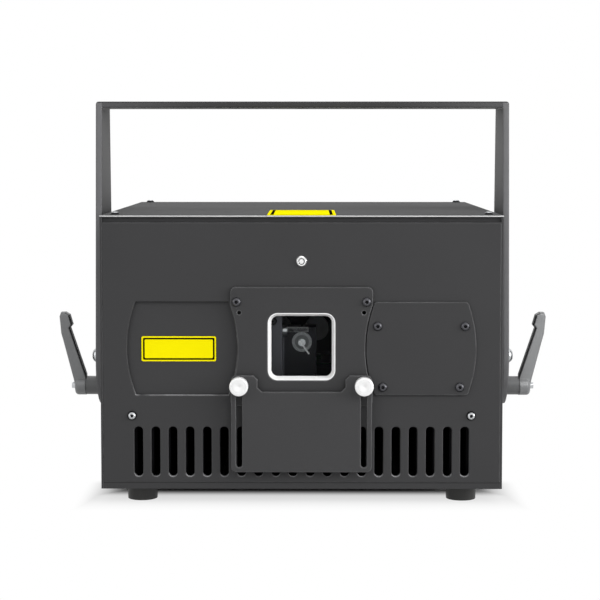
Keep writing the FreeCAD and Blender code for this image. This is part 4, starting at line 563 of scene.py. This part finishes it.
class PROJECTOR_OT_bracket(bpy.types.Operator):
    """Powder-coat the bracket, with painted highlights on its cut edges"""

    bl_idname = "projector.bracket"
    bl_label = "Bracket"

    def execute(self, context):
        sizes, colours = read_settings(context)
        worn_and_highlit = tuple(colours.worn_and_highlit)
        coat = powder_coat("bracket_powder_coat", colours.bracket, worn_and_highlit, sizes.edge_tone_reach, rough=0.48, fold=0.0028)
        _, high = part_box("bracket")
        # Painted highlights on the bracket's cut edges.
        painted_cut_edge_highlights(coat, high, sizes.plate, sizes.bar_depth, toned(colours.bracket, 4.2))
        dress(coat, "bracket")
        return {"FINISHED"}


class PROJECTOR_OT_feet(bpy.types.Operator):
    """Rubber for the feet"""

    bl_idname = "projector.feet"
    bl_label = "Feet"

    def execute(self, context):
        _, colours = read_settings(context)
        dress(moulded("foot_rubber", colours.rubber, rough=0.38, grain=700, depth=0.0001), "rubber_feet")
        return {"FINISHED"}


class PROJECTOR_OT_screws(bpy.types.Operator):
    """Plating for screws, shafts and spacers, and coat for the studs"""

    bl_idname = "projector.screws"
    bl_label = "Screws and studs"

    def execute(self, context):
        _, colours = read_settings(context)
        zinc = plated("zinc_plate", colours.zinc)
        dress(zinc, "pivot_screws", "backing_plates", "left_lever_screw", "right_lever_screw")
        heads = Finish("glinting_heads")
        x, y, z = heads.axes()
        _, cover_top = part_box("top_cover")
        proud = (abs(y) - CASE_HALF[1]).math("MAXIMUM", z - cover_top.z).math("MAXIMUM", abs(x) - CASE_HALF[0])
        # Painted highlight: zinc colour on the proud crown of each head, over a dark head.
        crown_glint = proud.step(0.0013, 0.0021)
        scuff = heads.noise(700, 3).step(0.3, 0.6)
        heads.set(
            Base_Color=heads.mix(crown_glint * (0.55 + 0.45 * scuff), toned(colours.oxide, 0.5), tuple(colours.zinc)),
            Metallic=0.9,
            Roughness=0.4 - 0.18 * crown_glint + 0.08 * scuff,
            Normal=heads.bump(scuff, 0.00004, 0.2, heads.rounded(0.0003)),
        )
        dress(heads, "case_screws")
        dress(zinc, "x_scan_shaft", "y_scan_shaft", "safety_eye")
        dress(plated("black_finish", colours.oxide, 0.34), "pivot_spacers", "clamp_spacers")
        dark, pale = toned(colours.casting, 0.62), toned(colours.casting, 1.5)
        studs = powder_coat("stud_coat", dark, pale, reach=0.0008, rough=0.36, gloss=0.5)
        dress(studs, "left_lever_stud", "right_lever_stud")
        dress(plated("dark_screws", toned(colours.oxide, 4.0), 0.3, 0.0004), "plate_screws")
        dress(moulded("spacer_plastic", colours.plastic), "shutter_spacers")
        return {"FINISHED"}


class PROJECTOR_OT_markers(bpy.types.Operator):
    """Yellow marker plates with a dark border line"""

    bl_idname = "projector.markers"
    bl_label = "Marker plates"

    def execute(self, context):
        _, colours = read_settings(context)
        finish = Finish("marker_yellow")
        low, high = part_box("marker_plates")
        span, rise = FRONT_MARKER
        width, run = TOP_MARKER
        inset, top_inset, rounding = 0.0012, 0.0025, 0.0016
        line_width, top_line_width = 0.0014, 0.0026
        border = 0.0001
        level_between = 0.2
        x, _, z = finish.axes((low.x + span / 2, 0, low.z + rise / 2))
        front = (span / 2 - inset - abs(x)).math("SMOOTH_MIN", rise / 2 - inset - abs(z), rounding)
        x, y, z = finish.axes((0, high.y - run / 2, level_between))
        top = (width / 2 - top_inset - abs(x)).math("SMOOTH_MIN", run / 2 - top_inset - abs(y), rounding)
        is_top = z.step(0, 0.001)
        depth = front * (1 - is_top) + top * is_top
        inner = depth - line_width - (top_line_width - line_width) * is_top
        line = depth.above(border) * (1 - inner.above(border))
        fade = finish.noise(60, 3)
        fresh = finish.mix(fade, toned(colours.yellow, 0.93), tuple(colours.yellow))
        finish.set(
            Base_Color=finish.mix(line, fresh, tuple(colours.line)),
            Roughness=0.4 + 0.12 * fade,
            Specular_IOR_Level=0.0,
            Normal=finish.bump(finish.noise(500, 2), 0.00004, 0.15),
        )
        dress(finish, "marker_plates")
        return {"FINISHED"}


class PROJECTOR_OT_thumbs(bpy.types.Operator):
    """Knurled thumb screws that hold the shutter"""

    bl_idname = "projector.thumbs"
    bl_label = "Thumb screws"

    def execute(self, context):
        sizes, colours = read_settings(context)
        finish = Finish("turned_aluminium")
        low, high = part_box("right_thumb_screw")
        x, _, z = finish.axes((0, 0, (low.z + high.z) / 2))
        rings = off_axis(abs(x) - (low.x + high.x) / 2, z).waves(14000)
        stain = finish.noise(160, 3)
        finish.set(
            Base_Color=finish.mix(stain, toned(colours.bright, 0.92), tuple(colours.bright)),
            Metallic=0.3,
            Roughness=0.34 + 0.1 * stain,
            Normal=finish.bump(rings, 0.00002, 0.2),
        )
        for side in ("left", "right"):
            node = f"{side}_thumb_screw"
            low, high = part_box(node)
            head, shank = (high.x - low.x) / 2, sizes.thumb_shank
            edge, tall = sizes.thumb_edge, sizes.thumb_head
            reach = high.y - low.y - tall
            groove, dimple = 0.00025, 0.0005
            # Radius and height along the shank, the bevelled head, its turned groove and the dimple in its middle.
            profile = (
                (0, -reach),
                (shank - edge / 2, -reach),
                (shank, edge / 2 - reach),
                (shank, 0),
                (head - edge, 0),
                (head - edge / 4, edge * 0.4),
                (head, edge),
                (head, tall - edge),
                (head - edge / 4, tall - edge * 0.4),
                (head - edge, tall),
                (head * 0.72, tall),
                (head * 0.7, tall - groove),
                (head * 0.66, tall - groove),
                (head * 0.64, tall),
                (head * 0.2, tall),
                (head * 0.12, tall - dimple * 0.8),
                (0, tall - dimple),
            )
            weights = [0, 0, 0, 0, 0, 0.6, 1, 1, 0.6, 0, 0, 0, 0, 0, 0, 0, 0]
            count = sizes.knurl_count
            points, *faces = turned(profile, count, sizes.knurl_depth, count * 6, weights)
            points = stood(points, ((low.x + high.x) / 2, low.y + tall, (low.z + high.z) / 2), -1)
            make_piece(f"{side}_knurled_screw", points, *faces, finish, f"{side}_thumb", "bright_metal", [node])
        return {"FINISHED"}


class PROJECTOR_OT_window(bpy.types.Operator):
    """Bright bezel, coated window glass and the emission lamp"""

    bl_idname = "projector.window"
    bl_label = "Window and lamp"

    def execute(self, context):
        _, colours = read_settings(context)
        bezel = Finish("satin_bezel")
        fine = bezel.noise(500, 2, (1, 1, 9))
        bezel.set(
            Base_Color=bezel.mix(fine, tuple(colours.bright), toned(colours.bright, 1.08)),
            Roughness=0.3 + 0.1 * fine,
            Normal=bezel.bump(fine, 0.00004, 0.2),
        )
        dress(bezel, "aperture_bezel")
        dress(plated("chrome", colours.bright, 0.08), "emission_bezel", "key_lock")
        glass = Finish("coated_glass")
        smear = glass.noise(35, 4).step(0.45, 0.8)
        glass.set(
            Base_Color=glass.mix(smear, (0.004, 0.004, 0.005), (0.02, 0.02, 0.021)),
            Roughness=0.03 + 0.08 * smear,
            Specular_IOR_Level=0.6,
        )
        clear = glass.add("ShaderNodeBsdfTransparent", None, {"Color": (0.97, 0.98, 0.98)})
        glass.show(glass.blend(0.035 + 0.03 * smear, clear, glass.solid()))
        dress(glass, "window_glass")
        lens = Finish("lamp_lens")
        low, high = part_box("emission_lens")
        x, _, z = lens.axes((0, 0, (low.z + high.z) / 2))
        out = off_axis(x, z)
        frosted = lens.mix(lens.noise(600, 2), toned(colours.lens, 0.9), tuple(colours.lens))
        rim = (out / ((high.x - low.x) / 2)).step(0.6, 0.9)
        lens.set(
            Base_Color=lens.mix(rim, frosted, toned(colours.lens, 0.12)),
            Roughness=0.12 + 0.05 * lens.noise(400, 2),
            Normal=lens.bump(out.waves(9000), 0.00008, 0.4),
            Subsurface_Weight=0.3,
            Subsurface_Radius=(0.001, 0.001, 0.001),
        )
        dress(lens, "emission_lens")
        return {"FINISHED"}


class PROJECTOR_OT_levers(bpy.types.Operator):
    """Coated die-cast clamp levers, with painted shade on their edges, their inner sides and where they face the
    bracket
    """

    bl_idname = "projector.levers"
    bl_label = "Clamp levers"

    def execute(self, context):
        _, colours = read_settings(context)
        finish = Finish("lever_casting")
        grain = finish.noise(1300, 2)
        cloud = finish.noise(45, 3)
        edge_radius, shade_reach, grain_depth = 0.002, 0.035, 0.00014
        slope, unit = 0.36, 0.001
        soft = finish.rounded(edge_radius)
        # Painted shade: darker patches on the lever's edges.
        painted_edge_tone = finish.edge(soft) * cloud.step(0.35, 0.7)
        body = finish.mix(cloud, toned(colours.casting, 0.88), toned(colours.casting, 1.12))
        # Painted shade where the lever faces the bracket and the case, from ambient occlusion.
        painted_shade = finish.occluded(shade_reach, False).step(0.12, 0.5)
        x, _, _ = finish.axes()
        draft = finish.bump(abs(x) * (-slope / unit), unit, 1.0, soft)
        sideways, _, _ = finish.parts(finish.flat())
        # Painted shade on the inner side, which faces the case.
        inward = (0 - x.math("SIGN") * sideways).step(0.15, 0.5)
        shaded_sides = finish.mix(painted_edge_tone * 0.6 * (1 - inward) + inward * 0.9, body, toned(colours.casting, 0.1))
        finish.set(
            Base_Color=finish.mix(painted_shade * 0.85, shaded_sides, toned(colours.casting, 0.08)),
            Metallic=0.15,
            Roughness=0.36 + 0.14 * grain,
            Normal=finish.bump(grain, grain_depth, 0.3, draft),
        )
        dress(finish, "left_lever_handle", "right_lever_handle")
        return {"FINISHED"}


class PROJECTOR_OT_optics(bpy.types.Operator):
    """Scanner, lasers, mirrors, deck and heat sink"""

    bl_idname = "projector.optics"
    bl_label = "Optics"

    def execute(self, context):
        _, colours = read_settings(context)
        dress(milled("milled_aluminium", colours.aluminium, (1, 14, 1)), "optical_deck", "mirror_posts")
        housing = milled("laser_housing", toned(colours.aluminium, 0.8), (12, 1, 1), 0.36)
        dress(housing, "red_laser", "green_laser", "blue_laser")
        dress(milled("black_anodised", colours.anodised, (1, 10, 1), 0.42), "heat_sink")
        block = milled("grey_anodised", toned(colours.anodised, 2.6), (1, 10, 1), 0.4)
        cheek = -0.015
        bare_cheek(block, cheek, toned(colours.anodised, 12.0))
        dress(block, "scanner_block")
        dress(plated("motor_can", toned(colours.zinc, 0.6), 0.3), "y_galvo_motor")
        can = Finish("motor_face")
        low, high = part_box("x_galvo_motor")
        x, _, z = can.axes(((low.x + high.x) / 2, 0, (low.z + high.z) / 2))
        out = off_axis(x, z) / ((high.x - low.x) / 2)
        ribs = z.math("ARCTAN2", x).waves(40)
        rim = out.step(0.68, 0.74)
        grooves = out.waves(30)
        dark = can.mix(rim * ribs.step(-0.2, 0.6), toned(colours.zinc, 0.22), toned(colours.zinc, 0.8))
        can.set(
            Base_Color=can.mix(out.step(0.3, 0.36), toned(colours.zinc, 1.25), dark),
            Metallic=0.85,
            Roughness=0.32 + 0.15 * can.noise(400, 2),
            Normal=can.bump(grooves * (1 - rim) + ribs * rim, 0.0001, 0.5),
        )
        dress(can, "x_galvo_motor")
        mirror = Finish("front_coated_mirror")
        dust = mirror.noise(700, 3).step(0.62, 0.72)
        ground = mirror.edge(mirror.rounded(0.0012))
        mirror.set(
            Base_Color=mirror.mix(dust, (0.93, 0.93, 0.94), (0.7, 0.7, 0.71)),
            Metallic=0.7 - 0.7 * ground,
            Roughness=0.12 + 0.2 * dust + 0.5 * ground,
        )
        dress(mirror, "x_scan_mirror", "y_scan_mirror", "combining_mirrors")
        return {"FINISHED"}


class PROJECTOR_OT_electronics(bpy.types.Operator):
    """Circuit boards, power supply and fans"""

    bl_idname = "projector.electronics"
    bl_label = "Electronics"

    def execute(self, context):
        _, colours = read_settings(context)
        finish = Finish("circuit_board")
        inputs = {
            "Vector": finish.place(),
            "Color1": (0.1, 0.1, 0.1),
            "Color2": (0.9, 0.9, 0.9),
            "Mortar": (0.5, 0.5, 0.5),
            "Scale": 130.0,
            "Mortar Size": 0.03,
        }
        tracks = finish.add("ShaderNodeTexBrick", None, inputs).math("GREATER_THAN", 0.5)
        finish.set(
            Base_Color=finish.mix(tracks, tuple(colours.board), tuple(colours.copper)),
            Roughness=0.3 + 0.15 * finish.noise(300, 2),
            Normal=finish.bump(tracks, 0.00005, 0.3),
        )
        dress(finish, "driver_board", "control_board")
        dress(milled("supply_case", toned(colours.aluminium, 0.9), (1, 9, 1), 0.4), "power_supply")
        dress(moulded("fan_plastic", colours.plastic, 0.5), "fan_frames", "left_fan_rotor", "right_fan_rotor")
        return {"FINISHED"}


class PROJECTOR_OT_sockets(bpy.types.Operator):
    """Rear sockets with contact pins"""

    bl_idname = "projector.sockets"
    bl_label = "Sockets"

    def execute(self, context):
        sizes, colours = read_settings(context)
        dress(moulded("socket_plastic", colours.plastic, 0.45), "power_inlet")
        dress(plated("socket_shell", toned(colours.zinc, 0.85), 0.3), "signal_sockets")
        gold = plated("contact_plate", (0.75, 0.6, 0.3), 0.16, 0.0001)
        radius, tall = sizes.pin_radius, sizes.pin_length
        bend = np.linspace(0, np.pi / 2, 7)
        tip = np.stack((radius * np.cos(bend), tall - radius + radius * np.sin(bend)), -1)
        profile = np.concatenate((((0, 0), (radius, 0)), tip[:-1], ((0, tall),)))
        pin, *pin_faces = turned(profile, steps=20)
        low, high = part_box("signal_sockets")
        low_inlet, high_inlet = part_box("power_inlet")
        half = SOCKET_FLANGE / 2
        middles = {
            "signal_pins": np.linspace(low.x + half, high.x - half, 4),
            "inlet_pins": np.array([(low_inlet.x + high_inlet.x) / 2]),
        }
        turn = np.radians((90, 210, 330))
        ring = sizes.pin_circle * np.stack((np.cos(turn), np.zeros(3), np.sin(turn)), -1)
        for name, middle in middles.items():
            feet = middle[:, None, None] * np.array((1, 0, 0)) + ring
            feet = feet.reshape(-1, 1, 3) + np.array((0, high.y - sizes.socket_floor, (low.z + high.z) / 2))
            points = stood(pin, feet, 1).reshape(-1, 3)
            faces = [repeated(part, len(feet), len(pin)) for part in pin_faces]
            make_piece(name, points, *faces, gold, "case", "key_brass")
        return {"FINISHED"}


class PROJECTOR_OT_controls(bpy.types.Operator):
    """Key, display and ribbed menu knob"""

    bl_idname = "projector.controls"
    bl_label = "Controls"

    def execute(self, context):
        sizes, colours = read_settings(context)
        dress(plated("key_brass", colours.brass, 0.2), "key")
        low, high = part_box("display")
        screen = Finish("display_window")
        x, _, z = screen.axes(((low.x + high.x) / 2, 0, (low.z + high.z) / 2))
        rim, cell_rate = 0.005, 2600
        half_wide, half_tall = (high.x - low.x) / 2 - rim, (high.z - low.z) / 2 - rim
        inside = (half_wide - abs(x)).math("MINIMUM", half_tall - abs(z)).above(0.0002)
        cells = x.waves(cell_rate) * z.waves(cell_rate)
        dark = screen.mix(cells.step(0.2, 0.6) * 0.25, tuple(colours.screen), toned(colours.screen, 3.0))
        screen.set(
            Base_Color=screen.mix(inside, toned(colours.plastic, 1.2), dark),
            Roughness=0.5 - 0.42 * inside + 0.05 * screen.noise(400, 2),
            Normal=screen.bump(screen.noise(1000, 2) * (1 - inside), 0.00006, 0.3),
        )
        dress(screen, "display")
        low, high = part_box("menu_knob")
        tall, shaft = sizes.knob_skirt, sizes.knob_shaft
        wide = (high.x - low.x) / 2
        narrow = wide * 0.92
        stem = high.y - low.y - tall
        # Radius and height along the shaft, the skirt, the ribbed grip and its dished face.
        profile = (
            (0, -stem),
            (shaft, -stem),
            (shaft, 0),
            (wide - 0.0004, 0),
            (wide, 0.0004),
            (wide, 0.0016),
            (wide - 0.0003, 0.002),
            (narrow, 0.0026),
            (narrow, tall - 0.0012),
            (narrow - 0.0003, tall - 0.0005),
            (narrow - 0.0012, tall),
            (narrow * 0.75, tall),
            (narrow * 0.7, tall - 0.0004),
            (narrow * 0.3, tall - 0.0008),
            (0, tall - 0.0009),
        )
        weights = [0, 0, 0, 0, 0, 0, 0, 1, 1, 0.7, 0, 0, 0, 0, 0]
        points, *faces = turned(profile, sizes.rib_count, sizes.rib_depth, sizes.rib_count * 10, weights)
        points = stood(points, (low.x + wide, low.y + stem, low.z + wide), 1)
        plastic = moulded("knob_plastic", colours.plastic, 0.5)
        make_piece("ribbed_knob", points, *faces, plastic, "menu", "black_plastic", ["menu_knob"])
        return {"FINISHED"}


def soft_light(name, power, size, place, target):
    """Rectangular soft light aimed at a point."""
    light = bpy.data.lights.new(name, "AREA")
    light.shape = "RECTANGLE"
    light.size, light.size_y = size
    light.energy = power
    lamp = bpy.data.objects.new(name, light)
    bpy.context.scene.collection.objects.link(lamp)
    aim = np.array(target) - np.array(place)
    flat = math.hypot(aim[0], aim[1])
    lamp.location = place
    lamp.rotation_euler = (math.atan2(flat, -aim[2]), 0, math.atan2(-aim[0], aim[1]))


class PROJECTOR_OT_stage(bpy.types.Operator):
    """Pale floor, white surroundings, soft lights and camera"""

    bl_idname = "projector.stage"
    bl_label = "Stage"

    def execute(self, context):
        sizes, colours = read_settings(context)
        scene = context.scene
        scene.view_settings.view_transform = "Standard"
        reach = 12.0
        corner = np.array(((-reach, -reach, 0), (reach, -reach, 0), (reach, reach, 0), (-reach, reach, 0)))
        mesh = bpy.data.meshes.new("floor")
        mesh.from_pydata(corner.tolist(), [], [(0, 1, 2, 3)])
        floor = bpy.data.objects.new("floor", mesh)
        scene.collection.objects.link(floor)
        pale = Finish("pale_floor")
        tone = pale.noise(2, 3)
        pale.set(
            Base_Color=pale.mix(tone, toned(colours.floor, 0.99), tuple(colours.floor)),
            Roughness=0.9,
            Specular_IOR_Level=0.0,
        )
        # The shadow shows under the case and fades to white past its sides and its ends.
        x, y, _ = pale.axes()
        past = abs(x) - CASE_HALF[0]
        ends = abs(y).step(0.068, 0.09)
        beside = past.step(-0.02, 0.014) * (1 - ends) + past.step(-0.014, 0.026) * ends
        ahead = abs(y) - CASE_HALF[1]
        share = beside.math("MAXIMUM", 0.68 * ahead.step(-0.056, -0.03) + 0.32 * ahead.step(-0.034, 0.03))
        white = pale.add("ShaderNodeEmission", None, {"Color": (1.0, 1.0, 1.0), "Strength": 1.0})
        surface = pale.blend(pale.seen() * share, pale.solid(), white)
        behind = pale.add("ShaderNodeNewGeometry", output="Backfacing")
        pale.show(pale.blend(behind, surface, pale.add("ShaderNodeBsdfTransparent")))
        mesh.materials.append(pale.material)

        world = bpy.data.worlds.new("studio")
        scene.world = world
        world.use_nodes = True
        sky = Graph(world.node_tree)
        strength = sky.add("ShaderNodeMapRange", None, {"Value": sky.seen(), "To Min": sizes.ambient})
        background = sky.tree.nodes["Background"]
        sky.feed(background.inputs["Color"], (1.0, 1.0, 1.0))
        sky.feed(background.inputs["Strength"], strength)

        middle = (0, 0, 0.13)
        left_share = 0.12
        lights = (
            ("key", sizes.key_power, (1.4, 1.1), (1.1, -1.7, 1.5)),
            ("fill", sizes.fill_power, (1.2, 1.2), (-1.5, -1.5, 0.9)),
            ("top", sizes.top_power, (2.2, 1.8), (0.1, 0.2, 2.1)),
            ("right", sizes.side_power, (0.8, 1.0), (1.8, -0.8, 0.6)),
            ("left", sizes.side_power * left_share, (0.8, 1.0), (-1.9, -0.5, 0.6)),
            ("rear", sizes.rear_power, (1.4, 1.0), (-0.3, 1.9, 1.2)),
        )
        for name, power, size, place in lights:
            soft_light(name, power, size, place, middle)

        camera = bpy.data.objects.new("camera", bpy.data.cameras.new("camera"))
        scene.collection.objects.link(camera)
        camera.data.sensor_width = 36.0
        camera.data.lens = 98.22
        camera.data.shift_y = -0.08
        camera.location = (0.0066, -1.503, 0.2937)
        tilt, pan = math.radians(3.66), math.radians(0.338)
        camera.rotation_euler = (math.pi / 2 - tilt, 0, pan)
        scene.camera = camera
        return {"FINISHED"}


class PROJECTOR_PT_panel(bpy.types.Panel):
    """Sidebar panel with the steps and their settings"""

    bl_label = "Laser show projector"
    bl_idname = "PROJECTOR_PT_panel"
    bl_space_type = "VIEW_3D"
    bl_region_type = "UI"
    bl_category = "Projector"

    def draw(self, context):
        for step in STEPS:
            self.layout.operator(step.bl_idname)
        for group in read_settings(context):
            box = self.layout.box()
            for name in group.bl_rna.properties.keys():
                if name not in ("rna_type", "name"):
                    box.prop(group, name)


GROUPS = (ProjectorColours, ProjectorSizes)
STEPS = (
    PROJECTOR_OT_case,
    PROJECTOR_OT_bracket,
    PROJECTOR_OT_feet,
    PROJECTOR_OT_screws,
    PROJECTOR_OT_markers,
    PROJECTOR_OT_thumbs,
    PROJECTOR_OT_window,
    PROJECTOR_OT_levers,
    PROJECTOR_OT_optics,
    PROJECTOR_OT_electronics,
    PROJECTOR_OT_sockets,
    PROJECTOR_OT_controls,
    PROJECTOR_OT_stage,
)


def register():
    """Add the settings, the steps and the panel."""
    for item in (*GROUPS, *STEPS, PROJECTOR_PT_panel):
        bpy.utils.register_class(item)
    bpy.types.Scene.projector_colours = PointerProperty(type=ProjectorColours)
    bpy.types.Scene.projector_sizes = PointerProperty(type=ProjectorSizes)


def unregister():
    """Take them away again."""
    del bpy.types.Scene.projector_sizes
    del bpy.types.Scene.projector_colours
    for item in (PROJECTOR_PT_panel, *reversed(STEPS), *reversed(GROUPS)):
        bpy.utils.unregister_class(item)


def main():
    """Register, then build every piece and the stage."""
    register()
    for step in STEPS:
        group, name = step.bl_idname.split(".")
        getattr(getattr(bpy.ops, group), name)()


if __name__ == "__main__":
    main()
